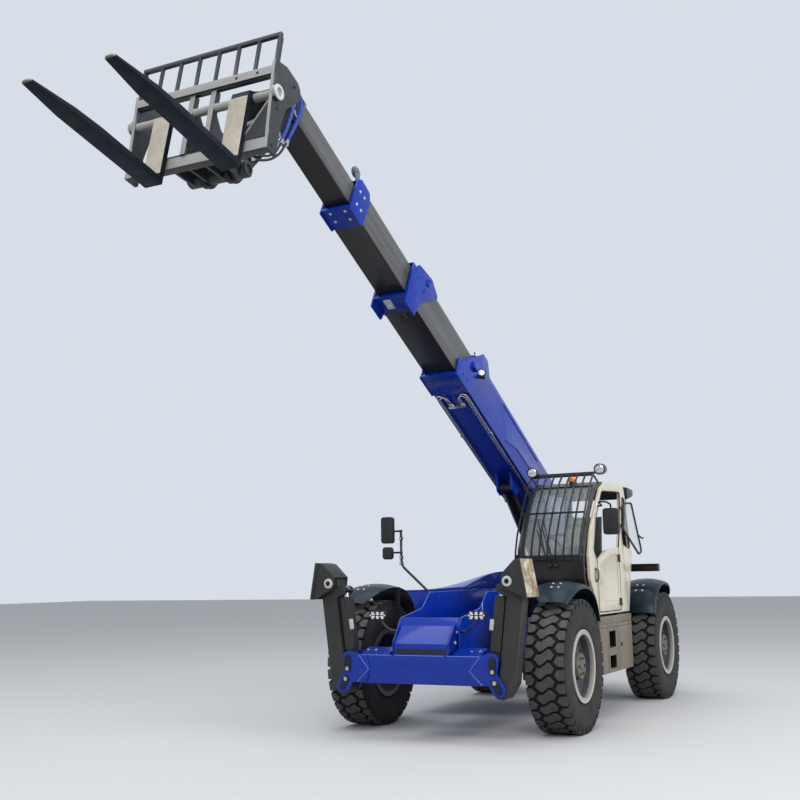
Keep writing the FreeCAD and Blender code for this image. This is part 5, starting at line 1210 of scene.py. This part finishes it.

# The door's recess outline and fold lines are thin darker taupe strips: painted shade in the folds.
PAINTED_FOLD_SHADE = hard_finish("painted_fold_shade", (0.36, 0.30, 0.22), 0.5, drift=0.1, dust=0.1)
bm = bmesh.new()
recess = [(-1.060, 1.215), (-1.060, 1.560), (-1.400, 1.700), (-1.740, 1.730), (-1.740, 1.215)]
outline_seal(bm, MACHINE, rounded(recess, [0.06, 0.06, 0.3, 0.04, 0.06]), CAB_LEFT - 0.0075, 0.0035)
for line in ([(-1.755, 1.790), (-1.752, 1.640)], [(-1.752, 1.150), (-1.752, 1.140)]):
    pipe(bm, MACHINE, [Vector((x, CAB_LEFT - 0.004, z)) for x, z in line], 0.004, 6)
piece("door_painted_fold_lines", bm, PAINTED_FOLD_SHADE, "cab_door", smooth=60)
bm = bmesh.new()
lathe(bm, MACHINE @ Matrix.Translation((-0.905, CAB_LEFT, 1.500)) @ Matrix.Scale(2.0, 4, (0, 0, 1)), (0, 0, 0),
      (0, 1, 0), [(-0.004, 0.040), (0.003, 0.040), (0.005, 0.034), (-0.002, 0.030), (-0.003, 0.0)], 32)
piece("grip_recess", bm, black_plastic, "chassis", smooth=50)
bm = bmesh.new()
pipe(bm, MACHINE, smooth_path([(-0.905, CAB_LEFT, 1.435), (-0.905, CAB_LEFT + 0.026, 1.455),
                               (-0.905, CAB_LEFT + 0.028, 1.545), (-0.905, CAB_LEFT, 1.565)]), 0.007)
for z in (1.160, 1.640):
    block(bm, MACHINE, (-1.812, CAB_LEFT + 0.004, z), (-1.740, CAB_LEFT + 0.016, z + 0.085))
piece("side_grip", bm, black_plastic, "chassis", 0.002, smooth=50)

# %% [markdown]
# The windscreen bends back from a low sill to the roof, so the wipers follow the same curve a little in front
# of the glass. Each has a jointed arm, a blade holder and a rubber blade.

# %% Wipers
SCREEN_LINE = [(-0.612, 1.640), (-0.650, 1.790), (-0.745, 1.960), (-0.880, 2.172)]


def screen_point(y, z, ahead_by):
    """A point in front of the windscreen at one height."""
    for (x0, z0), (x1, z1) in zip(SCREEN_LINE, SCREEN_LINE[1:]):
        if z <= z1 or (x1, z1) == SCREEN_LINE[-1]:
            return Vector((x0 + (x1 - x0) * (z - z0) / (z1 - z0) + ahead_by, y, z))


bm, blades = bmesh.new(), bmesh.new()
for foot_y, tip_y in ((0.735, 0.560), (0.800, 0.620)):
    foot = screen_point(foot_y, 1.600, 0.020)
    knee = screen_point(foot_y * 0.55 + tip_y * 0.45, 1.78, 0.035)
    tip = screen_point(tip_y, 1.98, 0.030)
    lathe(bm, MACHINE, foot - Vector((0.02, 0, 0)), (1, 0, 0), [(0, 0.022), (0.03, 0.022), (0.036, 0.016)], 20)
    pipe(bm, MACHINE, smooth_path([foot, knee, tip]), 0.0065, 8)
    low, high = screen_point(foot_y - 0.05, 1.70, 0.018), screen_point(tip_y - 0.02, 2.10, 0.018)
    pipe(blades, MACHINE, smooth_path([low, (low + high) / 2 + Vector((0.012, 0, 0)), high]), 0.0055, 6)
piece("wiper_arms", bm, black_plastic, "chassis", smooth=50)
piece("wiper_blades", blades, hose_rubber, "chassis", smooth=50)

# %% [markdown]
# Round work lamps sit at both ends of the guard's top bar, with black rims and bright reflectors that face
# forward. The beacon is orange glass on a black foot. The mirrors get their glass on the side that the driver
# sees.

# %% Work lamps, beacon and mirror glass
for y in (0.400, 1.170):
    start, way = Vector((-1.060, y, 2.632)), Vector((1, 0, -0.09))
    bm, lens = bmesh.new(), bmesh.new()
    lathe(bm, MACHINE, start, way, [(-0.012, 0.0605), (0.004, 0.0612), (0.008, 0.056), (0.003, 0.050),
                                    (0.0, 0.048), (-0.012, 0.0605)], 32)
    lathe(lens, MACHINE, start, way, [(0.001, 0.050), (0.006, 0.040), (0.009, 0.020), (0.010, 0.0)], 32)
    piece(f"lamp_bezel_{round(y * 1000)}", bm, black_plastic, "chassis")
    piece(f"lamp_lens_{round(y * 1000)}", lens, CHROME, "chassis")
beacon_glass = hard_finish("beacon_glass", (0.95, 0.24, 0.01), 0.15, coat=0.8, drift=0.04, dust=0.05)
bm = bmesh.new()
lathe(bm, MACHINE, (-1.330, 0.780, 2.532), (0, 0, 1), [(0, 0.0455), (0.006, 0.047), (0.060, 0.046), (0.074, 0.038),
                                                       (0.080, 0.020), (0.0815, 0.0)], 32)
piece("beacon_dome", bm, beacon_glass, "chassis")
MIRROR_GLASS = hard_finish("mirror_glass", (0.80, 0.82, 0.84), 0.04, metal=1.0, drift=0.01, dust=0.05)
bm = bmesh.new()
for y0, y1, z0, z1, x in ((-0.928, -0.812, 1.882, 2.136, -0.0262), (-0.914, -0.826, 1.712, 1.818, -0.0262),
                          (1.236, 1.374, 1.938, 2.184, -1.0012)):
    plate(bm, MACHINE, rounded([(y0, z0), (y1, z0), (y1, z1), (y0, z1)], 0.024), x - 0.0015, x + 0.003, "x")
piece("mirror_glass", bm, MIRROR_GLASS, "chassis")
bm = bmesh.new()
for z in (1.640, 1.70, 1.90):
    lathe(bm, MACHINE, (0.0, -0.711, z), (0, 0, 1), [(0, 0.021), (0.034, 0.021)], 16)
lathe(bm, MACHINE, (-0.040, -0.331, 1.340), (0, -1, 0), [(0, 0.036), (0.010, 0.036), (0.016, 0.022), (0.03, 0.022)], 24)
piece("mirror_clamps", bm, black_plastic, "chassis", 0.002)
for z in (1.657, 1.717, 1.917):
    bolt("chassis", MACHINE, (0.020, -0.711, z), (1, 0, 0), 0.009)


# %% [markdown]
# ## Upper door leaf and rear carrier
# The door's upper half is a pane in a black tube frame, folded back against the cab. The carrier behind the
# cab is a flat black box.

# %% Door leaf and carrier
LEAF = [(-1.950, 2.010), (-2.010, 2.310), (-2.330, 2.330), (-2.700, 1.765), (-2.560, 1.740)]
leaf = rounded(LEAF, [0.03, 0.06, 0.06, 0.05, 0.05])
bm, pane = bmesh.new(), bmesh.new()
pipe(bm, MACHINE, [Vector((x, 1.155, z)) for x, z in leaf + leaf[:2]], 0.0125, 10)
for (x0, z0), (x1, z1) in ((LEAF[0], (-1.895, 2.060)), ((-1.985, 2.240), (-1.925, 2.260))):
    bar(bm, MACHINE, (x0, 1.155, z0), (x1, 1.140, z1), 0.010, 12)
pipe(bm, MACHINE, smooth_path([(-2.560, 1.160, 1.960), (-2.610, 1.185, 1.930), (-2.660, 1.190, 1.925)]), 0.010, 8)
plate(pane, MACHINE, leaf, 1.1525, 1.1575, "y")
piece("leaf_frame", bm, black_plastic, "chassis", smooth=50, replaces=["door_leaf"])
piece("leaf_pane", pane, cab_glass, "chassis")
bm = bmesh.new()
block(bm, MACHINE, (-2.955, 0.335, 1.538), (-2.866, 1.296, 1.618))
for y in (0.40, 1.24):
    block(bm, MACHINE, (-2.962, y, 1.536), (-2.956, y + 0.03, 1.620))
piece("carrier_fill", bm, black_paint, "chassis", 0.006)

# %% [markdown]
# ## Step box
# Two steps are cut in the box under the door. Their insides are black sheet, painted shade for the deep recesses, with
# a ribbed tread, a row of small bolts holds the cover's upper strip, and a latch closes its lower part.

# %% Step linings, strip and latch
# The black linings inside the step recesses are painted shade.
bm, treads = bmesh.new(), bmesh.new()
STEP_BACK = CAB_LEFT - 0.158
for low, high in ((0.500, 0.640), (0.720, 0.900)):
    block(bm, MACHINE, (-1.529, STEP_BACK, low + 0.001), (-1.291, STEP_BACK + 0.003, high - 0.001))
    for x in (-1.529, -1.294):
        block(bm, MACHINE, (x, STEP_BACK, low + 0.001), (x + 0.003, CAB_LEFT - 0.002, high - 0.001))
    for z in (low + 0.001, high - 0.004):
        block(bm, MACHINE, (-1.529, STEP_BACK, z), (-1.291, CAB_LEFT - 0.002, z + 0.003))
    for k in range(7):
        x = -1.515 + k * 0.034
        block(treads, MACHINE, (x, STEP_BACK + 0.01, low + 0.004), (x + 0.008, CAB_LEFT - 0.006, low + 0.008))
piece("step_shade_linings", bm, black_paint, "chassis")
piece("step_treads", treads, bright_steel, "chassis", 0.001)
bm = bmesh.new()
block(bm, MACHINE, (-2.188, CAB_LEFT - 0.001, 0.938), (-0.952, CAB_LEFT + 0.0012, 0.944))
block(bm, MACHINE, (-1.660, CAB_LEFT - 0.001, 0.470), (-1.656, CAB_LEFT + 0.0012, 0.940))
block(bm, MACHINE, (-1.745, CAB_LEFT, 0.720), (-1.735, CAB_LEFT + 0.010, 0.760))
block(bm, MACHINE, (-1.760, CAB_LEFT, 0.735), (-1.700, CAB_LEFT + 0.014, 0.745))
piece("skirt_seams", bm, black_plastic, "chassis")
for x in (-1.02, -1.22, -1.42, -1.62, -1.82, -2.02):
    bolt("chassis", MACHINE, (x, CAB_LEFT, 0.972), (0, 1, 0), 0.006, taupe_paint)
# %% [markdown]
# ## Driver's seat
# The seat has a sprung base, a crowned cushion and a backrest with side bolsters. Foam under cloth bulges
# between its seams, so each cushion starts as a rounded slab, swells from the middle and is pinched along its
# two sewn channels.

# %% Cushions
def cushion(name, place, size, channels, swell):
    """A crowned cushion of a size (across, along, thick), pinched at the given places across."""
    bm = bmesh.new()
    bmesh.ops.create_grid(bm, x_segments=28, y_segments=28, size=0.5)
    bottom = bmesh.ops.duplicate(bm, geom=bm.verts[:] + bm.faces[:])
    lower = {v for v in bottom["geom"] if isinstance(v, bmesh.types.BMVert)}
    across, along, thick = size
    for vert in bm.verts:
        u, v = vert.co.x * 2, vert.co.y * 2
        edge = (1 - abs(u) ** 4) * (1 - abs(v) ** 4)
        seam = sum(math.exp(-((vert.co.x - c) / 0.018) ** 2) for c in channels)
        height = thick / 2 * (0.30 + 0.70 * max(edge, 0.0) ** 0.35)
        if vert in lower:
            vert.co = Vector((u * across / 2 * 0.985, v * along / 2 * 0.985, -height * 0.8))
        else:
            top = height + swell * max(edge, 0) - 0.011 * seam * min(1.0, edge * 4)
            pull = 1 - 0.02 * (1 - abs(v)) * abs(u) ** 2
            vert.co = Vector((u * across / 2 * pull, v * along / 2 * pull, top))
    rim = [e for e in bm.edges if e.is_boundary]
    bmesh.ops.bridge_loops(bm, edges=rim)
    for vert in bm.verts:
        vert.co = place @ vert.co
    made = piece(name, bm, seat_cloth, "chassis", smooth=75)
    return made


SEAT = MACHINE @ Matrix.Translation((-1.56, 0.73, 1.520))
cushion("seat_cushion", SEAT, (0.44, 0.44, 0.085), (-0.28, 0.28), 0.016)
BACK = MACHINE @ Matrix.Translation((-1.805, 0.73, 1.880)) @ Matrix.Rotation(math.radians(82), 4, "Y")
cushion("seat_back", BACK @ Matrix.Rotation(math.radians(90), 4, "Z"), (0.42, 0.56, 0.085), (-0.26, 0.26), 0.016)
bm = bmesh.new()
block(bm, MACHINE, (-1.74, 0.56, 1.124), (-1.40, 0.90, 1.300))
plate(bm, MACHINE, rounded([(-1.76, 1.42), (-1.35, 1.43), (-1.35, 1.475), (-1.76, 1.465)], 0.01), 0.53, 0.93, "y")
for k in range(5):
    z = 1.305 + k * 0.022
    inset = 0.012 if k % 2 else 0.0
    block(bm, MACHINE, (-1.72 + inset, 0.58 + inset, z), (-1.42 - inset, 0.88 - inset, z + 0.022))
piece("seat_base", bm, black_plastic, "chassis", 0.004, replaces=["seat"])
print("seat done")

# %% [markdown]
# ## Steering wheel
# The wheel is a padded ring on three spokes, on a column that leans towards the driver.

# %% Steering wheel and console
bm = bmesh.new()
WHEEL = MACHINE @ Matrix.Translation((-1.040, 0.730, 1.800)) @ Matrix.Rotation(math.radians(-50), 4, "Y")
ring = [(0.015 * math.sin(math.tau * k / 12), 0.180 + 0.015 * math.cos(math.tau * k / 12)) for k in range(12)]
lathe(bm, WHEEL, (0, 0, 0), (0, 0, 1), ring + [ring[0]], 48)
lathe(bm, WHEEL, (0, 0, -0.03), (0, 0, 1), [(0, 0.030), (0.020, 0.036), (0.034, 0.034), (0.038, 0.0)], 28)
for angle in (0, 120, 240):
    turn = WHEEL @ Matrix.Rotation(math.radians(angle + 90), 4, "Z")
    block(bm, turn, (0.028, -0.014, -0.010), (0.170, 0.014, 0.004))
bar(bm, MACHINE, (-0.860, 0.730, 1.650), (-1.030, 0.730, 1.792), 0.034, 20)
plate(bm, MACHINE, rounded([(-0.700, 1.560), (-0.700, 1.690), (-0.860, 1.720), (-1.040, 1.500)], 0.02), 0.600, 0.860)
block(bm, MACHINE, (-1.060, 0.640, 1.124), (-0.940, 0.820, 1.530))
piece("steering", bm, black_plastic, "chassis", 0.002, smooth=45, replaces=["steering_column"])

# %% [markdown]
# ## Boom
# Bolts through the collars hold the wear pads that the next section slides on. They sit in pairs on the side
# plates and below. A work lamp hangs on the outer collar's left, and a rope sheave stands on the third one.

# %% Collar bolts, lamp and sheave
for side in (-1, 1):
    for a, b in ((6.87, 0.075), (6.79, 0.075), (6.87, -0.075), (6.79, -0.075)):
        bolt("boom_3", BOOM, (a, side * 0.154, b), (0, side, 0), 0.010, WASHER)
    for a, b in ((5.745, 0.150), (5.665, 0.120), (5.745, -0.070), (5.665, -0.100)):
        bolt("boom_2", BOOM, (a, side * 0.184, b), (0, side, 0), 0.009, blue_paint)
    for a, b in ((4.46, 0.020), (4.40, 0.115), (4.32, 0.215), (4.46, -0.160), (4.36, -0.160)):
        bolt("boom_1", BOOM, (a, side * 0.212, b), (0, side, 0), 0.010, blue_paint)
    for a, y in ((6.895, 0.075), (6.795, 0.075)):
        bolt("boom_3", BOOM, (a, side * y, -0.1665), (0, 0, -1), 0.010, WASHER)
    for a, y in ((4.50, 0.12), (4.36, 0.12)):
        bolt("boom_1", BOOM, (a, side * y, -0.254), (0, 0, -1), 0.011, blue_paint)
bm = bmesh.new()
lathe(bm, BOOM, (5.475, 0.1835, 0.205), (0, 1, 0), [(0, 0.040), (0.010, 0.040), (0.012, 0.034), (0.003, 0.030),
                                                    (0.002, 0.0)], 28)
pipe(bm, BOOM, smooth_path([(5.475, 0.186, 0.130), (5.505, 0.186, 0.095), (5.520, 0.186, 0.045)]), 0.009, 8)
piece("collar_2_details", bm, blue_paint, "boom_2", smooth=50)
SHEAVE_GREY = hard_finish("sheave_grey", (0.10, 0.15, 0.20), 0.35, coat=0.3, dust=0.02)
bm = bmesh.new()
plate(bm, BOOM, rounded([(6.905, 0.150), (6.985, 0.235), (7.00, 0.275), (6.95, 0.305), (6.90, 0.290), (6.87, 0.200)],
                        0.02), 0.108, 0.118, "y")
lathe(bm, BOOM, (6.95, 0.084, 0.262), (0, 1, 0), [(0, 0.018), (0, 0.050), (0.006, 0.050), (0.011, 0.038),
                                                  (0.016, 0.050), (0.022, 0.050), (0.022, 0.018), (0, 0.018)], 28)
bar(bm, BOOM, (6.95, 0.075, 0.262), (6.95, 0.124, 0.262), 0.014, 16)
piece("sheave", bm, SHEAVE_GREY, "boom_3", 0.0015)
bm = bmesh.new()
block(bm, BOOM, (4.230, 0.212, 0.030), (4.320, 0.246, 0.110))
block(bm, BOOM, (4.190, 0.222, 0.062), (4.235, 0.234, 0.088))
bar(bm, BOOM, (4.275, 0.212, 0.125), (4.275, 0.240, 0.125), 0.010, 12)
piece("lamp_bracket", bm, blue_paint, "boom_1", 0.003)
bm, lens = bmesh.new(), bmesh.new()
LAMP = BOOM @ Matrix.Translation((4.145, 0.245, 0.085)) @ Matrix.Rotation(math.radians(20), 4, "Z")
plate(bm, LAMP, rounded([(-0.045, -0.045), (0.045, -0.045), (0.045, 0.045), (-0.045, 0.045)], 0.012), -0.05, 0.0, "x")
lathe(bm, LAMP, (0, 0, 0), (1, 0, 0), [(-0.001, 0.042), (0.006, 0.042), (0.006, 0.036), (-0.001, 0.036),
                                       (-0.001, 0.042)], 28)
lathe(lens, LAMP, (0, 0, 0), (1, 0, 0), [(0.0005, 0.036), (0.004, 0.030), (0.006, 0.0)], 28)
piece("boom_lamp", bm, black_plastic, "boom_1", 0.002)
piece("boom_lamp_lens", lens, LENS, "boom_1")

# %% [markdown]
# Steel pipes carry oil along the boom's belly. At the outer collar each pair turns back in a loop to a row of
# fittings, and clamps hold the straight runs.

# %% Pipe loops and fittings
bm, fittings = bmesh.new(), bmesh.new()
BELLY = -0.266
for side in (-1, 1):
    for offset, reach in ((0.172, 0.075), (0.150, 0.045)):
        loop = [(4.10, side * offset, BELLY), (4.17, side * offset, BELLY), (4.17 + reach, side * (offset - 0.012), BELLY),
                (4.19 + reach, side * (offset - 0.05), BELLY - 0.004), (4.16 + reach / 2, side * (offset - 0.088), BELLY),
                (4.09, side * (offset - 0.095), BELLY + 0.008)]
        pipe(bm, BOOM, smooth_path(loop), 0.0085, 10)
        x, y, z = loop[-1]
        lathe(fittings, BOOM, (x - 0.035, y, z), (1, 0, 0), [(0, 0.013), (0.02, 0.013), (0.022, 0.016), (0.042, 0.016),
                                                            (0.045, 0.012)], 6)
block(fittings, BOOM, (4.045, -0.100, BELLY - 0.014), (4.075, 0.100, -0.2405))
piece("pipe_loops", bm, bright_steel, "boom_1", smooth=60)
piece("pipe_fittings", fittings, bright_steel, "boom_1", 0.001)
bm = bmesh.new()
block(bm, BOOM, (5.640, -0.085, -0.224), (5.760, -0.010, -0.209))
block(bm, BOOM, (5.655, -0.060, -0.236), (5.700, -0.030, -0.222))
piece("collar_2_clamp", bm, WASHER, "boom_2", 0.002)
# A black capsule on the collar's underside is painted shade for a slot.
bm = bmesh.new()
plate(bm, BOOM, capsule((5.47, 0.03), (5.56, 0.03), 0.018), -0.2035, -0.1945, "z")
piece("collar_2_slot_shade", bm, black_plastic, "boom_2")

# %% [markdown]
# ## Boom head
# Hoses drop along the goose neck from the last section to the carriage's tilt cylinder. Two of them wear a
# blue sleeve. Each one is a hose of a fixed length with a fitting at both ends, clamped to the head's left
# plate, so it stays with the head.

# %% Hoses on the goose neck
def curve_length(curve):
    """The length of a curve's line, measured on a mesh that Blender makes of it."""
    line = bpy.data.meshes.new_from_object(curve)
    points = [v.co.copy() for v in line.vertices]
    bpy.data.meshes.remove(line)
    return sum((b - a).length for a, b in zip(points, points[1:]))


def hose(name, body, place, points, radius, finish):
    """A hose on a smooth spline with a hexagon fitting at both ends."""
    data = bpy.data.curves.new(name, "CURVE")
    data.dimensions, data.resolution_u = "3D", 16
    spline = data.splines.new("NURBS")
    spline.points.add(len(points) - 1)
    route = [place @ Vector(point) for point in points]
    for spot, point in zip(spline.points, route):
        spot.co = (*point, 1)
    spline.order_u, spline.use_endpoint_u = 3, True
    made = bpy.data.objects.new(name, data)
    bpy.context.collection.objects.link(made)
    length = curve_length(made)
    data.bevel_depth, data.bevel_resolution, data.use_fill_caps = radius, 4, True
    data.materials.append(finish)
    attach(made, body)
    ends = bmesh.new()
    for end, before in ((route[0], route[1]), (route[-1], route[-2])):
        way = (end - before).normalized()
        lathe(ends, Matrix(), end - way * 0.030, way, [(0, radius * 1.25), (0.026, radius * 1.25), (0.028, radius * 1.7),
                                                       (0.046, radius * 1.7), (0.048, radius * 1.1)], 6)
    tips = piece(name + "_fittings", ends, bright_steel, body)
    print(name, "length", round(length, 3))


sleeve_blue = hard_finish("sleeve_blue", (0.008, 0.050, 0.34), 0.6, drift=0.15, dust=0.03, grain=500, depth=0.001)
hose("hose_1", "boom_4", BOOM, [(8.085, 0.134, 0.025), (8.035, 0.152, 0.055), (7.975, 0.164, 0.050),
                                (7.922, 0.166, -0.020), (7.912, 0.162, -0.150), (7.925, 0.160, -0.300),
                                (7.945, 0.160, -0.460)], 0.015, sleeve_blue)
hose("hose_2", "boom_4", BOOM, [(8.011, 0.134, -0.013), (8.000, 0.158, -0.120), (7.995, 0.164, -0.300),
                                (8.000, 0.162, -0.430), (8.003, 0.162, -0.520)], 0.015, sleeve_blue)
hose("hose_3", "boom_4", BOOM, [(7.945, 0.160, -0.440), (7.955, 0.164, -0.520), (7.985, 0.166, -0.640),
                                (8.075, 0.158, -0.800), (8.203, 0.136, -0.905)], 0.010, hose_rubber)
hose("hose_4", "boom_4", BOOM, [(8.003, 0.162, -0.500), (8.012, 0.168, -0.590), (8.042, 0.168, -0.690),
                                (8.105, 0.158, -0.780), (8.200, 0.138, -0.845)], 0.010, hose_rubber)
bm = bmesh.new()
for a, b in ((7.950, -0.100), (7.985, -0.440)):
    block(bm, BOOM, (a - 0.060, 0.124, b - 0.012), (a + 0.060, 0.148, b + 0.012))
piece("hose_clamps", bm, bright_steel, "boom_4", 0.002)
red_cap = hard_finish("red_cap", (0.62, 0.03, 0.03), 0.35, dust=0.02)
bm = bmesh.new()
lathe(bm, BOOM, (7.990, 0.124, -0.060), (0, 1, 0), [(0, 0.016), (0.024, 0.016), (0.028, 0.012), (0.029, 0.0)], 20)
piece("port_cap", bm, red_cap, "boom_4")
for a, b in ((7.90, 0.085), (8.02, 0.070), (7.90, -0.090), (8.05, -0.52), (8.15, -0.80)):
    for side in (-1, 1):
        bolt("boom_4", BOOM, (a, side * 0.124, b), (0, side, 0), 0.009, black_paint)

# %% [markdown]
# ## Fork carriage
# The carriage's shaft is bare steel with a pale collar at each end. Pins and bolts hold the cylinder lugs.

# %% Shaft collars and carriage bolts
for side in (-1, 1):
    bm = bmesh.new()
    lathe(bm, CARRIAGE, (-0.092, side * 0.649, 0.598), (0, side, 0),
          [(0, 0.030), (0, 0.056), (0.004, 0.058), (0.010, 0.054), (0.011, 0.034), (0.004, 0.030), (0, 0.030)], 32)
    piece("shaft_collar_" + ("left" if side > 0 else "right"), bm, WASHER, "carriage")
    for x, z in ((-0.10, 0.66), (-0.30, 0.80), (-0.14, 0.20), (-0.14, 0.50)):
        bolt("carriage", CARRIAGE, (x, side * 0.622, z), (0, side, 0), 0.009, charcoal_paint)
    for y in (0.30, 0.48):
        bolt("carriage", CARRIAGE, (-0.036, side * y, 0.768), (1, 0, 0), 0.008, charcoal_paint)
    lathe_at = (-0.380, side * 0.250, 0.240)
    bm = bmesh.new()
    lathe(bm, CARRIAGE, lathe_at, (0, side, 0), [(0, 0.034), (0, 0.052), (0.008, 0.054), (0.012, 0.050),
                                                 (0.012, 0.034), (0, 0.034)], 28)
    piece("pivot_collar_" + ("left" if side > 0 else "right"), bm, charcoal_paint, "carriage")

make_bolts()

# %% [markdown]
# ## Studio
# A plain pale floor and soft light from above keep the colours true. The camera stands where the
# photographer stood: low in front and to the left of the machine, looking up along the boom.

# %% Floor, light and camera
def seen_ray(tree):
    """1 where the camera sees a surface, by itself or in a mirror or through glass; 0 for its soft light."""
    path = node(tree, "ShaderNodeLightPath").outputs
    either = sums(tree, "MAXIMUM", path["Is Glossy Ray"], path["Is Transmission Ray"])
    return sums(tree, "MAXIMUM", path["Is Camera Ray"], either)


mesh = bpy.data.meshes.new("floor")
SIZE = 60.0
mesh.from_pydata([(-SIZE, -SIZE, 0), (SIZE, -SIZE, 0), (SIZE, SIZE, 0), (-SIZE, SIZE, 0)], [], [(0, 1, 2, 3)])
floor = bpy.data.objects.new("floor", mesh)
bpy.context.collection.objects.link(floor)
floor_finish, tree, shader, place = new_finish("floor_finish")
tree.links.new(blend(tree, seen_ray(tree), (0.26, 0.26, 0.26), (0.62, 0.61, 0.60)), shader.inputs["Base Color"])
shader.inputs["Roughness"].default_value = 0.9
mesh.materials.append(floor_finish)

world = bpy.data.worlds.new("studio")
world.use_nodes = True
world.node_tree.nodes["Background"].inputs["Color"].default_value = (0.80, 0.86, 0.94, 1)
tree = world.node_tree
tree.links.new(spread(tree, seen_ray(tree), 0, 1, 0.62, 0.85), tree.nodes["Background"].inputs["Strength"])
bpy.context.scene.world = world


def soft_light(name, place, target, size, power, colour=(1, 1, 1)):
    """A large square lamp that faces a target."""
    data = bpy.data.lights.new(name, "AREA")
    data.energy = power
    data.size = size
    data.color = colour
    lamp = bpy.data.objects.new(name, data)
    lamp.location = place
    lamp.rotation_euler = (Vector(target) - Vector(place)).to_track_quat("-Z", "Y").to_euler()
    bpy.context.collection.objects.link(lamp)
    return lamp


soft_light("sky", (2, -2, 15), (0, 0, 2), 12, 1000, (0.94, 0.97, 1.0))
soft_light("key", (13, 6, 11), (0, 0, 2), 7, 1000, (1.0, 0.97, 0.92))
soft_light("fill", (0, 16, 8), (0, 0, 2), 9, 1350, (0.92, 0.96, 1.0))

YAW, PITCH, ROLL, FOCAL = -0.47162, 0.16097, -0.016732, 1090.3
ahead = Vector((-math.cos(YAW) * math.cos(PITCH), math.sin(YAW) * math.cos(PITCH), math.sin(PITCH)))
right = ahead.cross(Vector((0, 0, 1))).normalized()
up = right.cross(ahead)
level = Matrix((right, up, -ahead)).transposed().to_4x4()
data = bpy.data.cameras.new("camera")
data.lens = FOCAL * 36 / 800
data.sensor_width = 36
camera = bpy.data.objects.new("camera", data)
camera.matrix_world = Matrix.Translation(at(10.411, 4.613, 1.513)) @ level @ Matrix.Rotation(ROLL, 4, "Z")
bpy.context.collection.objects.link(camera)
bpy.context.scene.camera = camera
bpy.context.scene.view_settings.view_transform = "Standard"
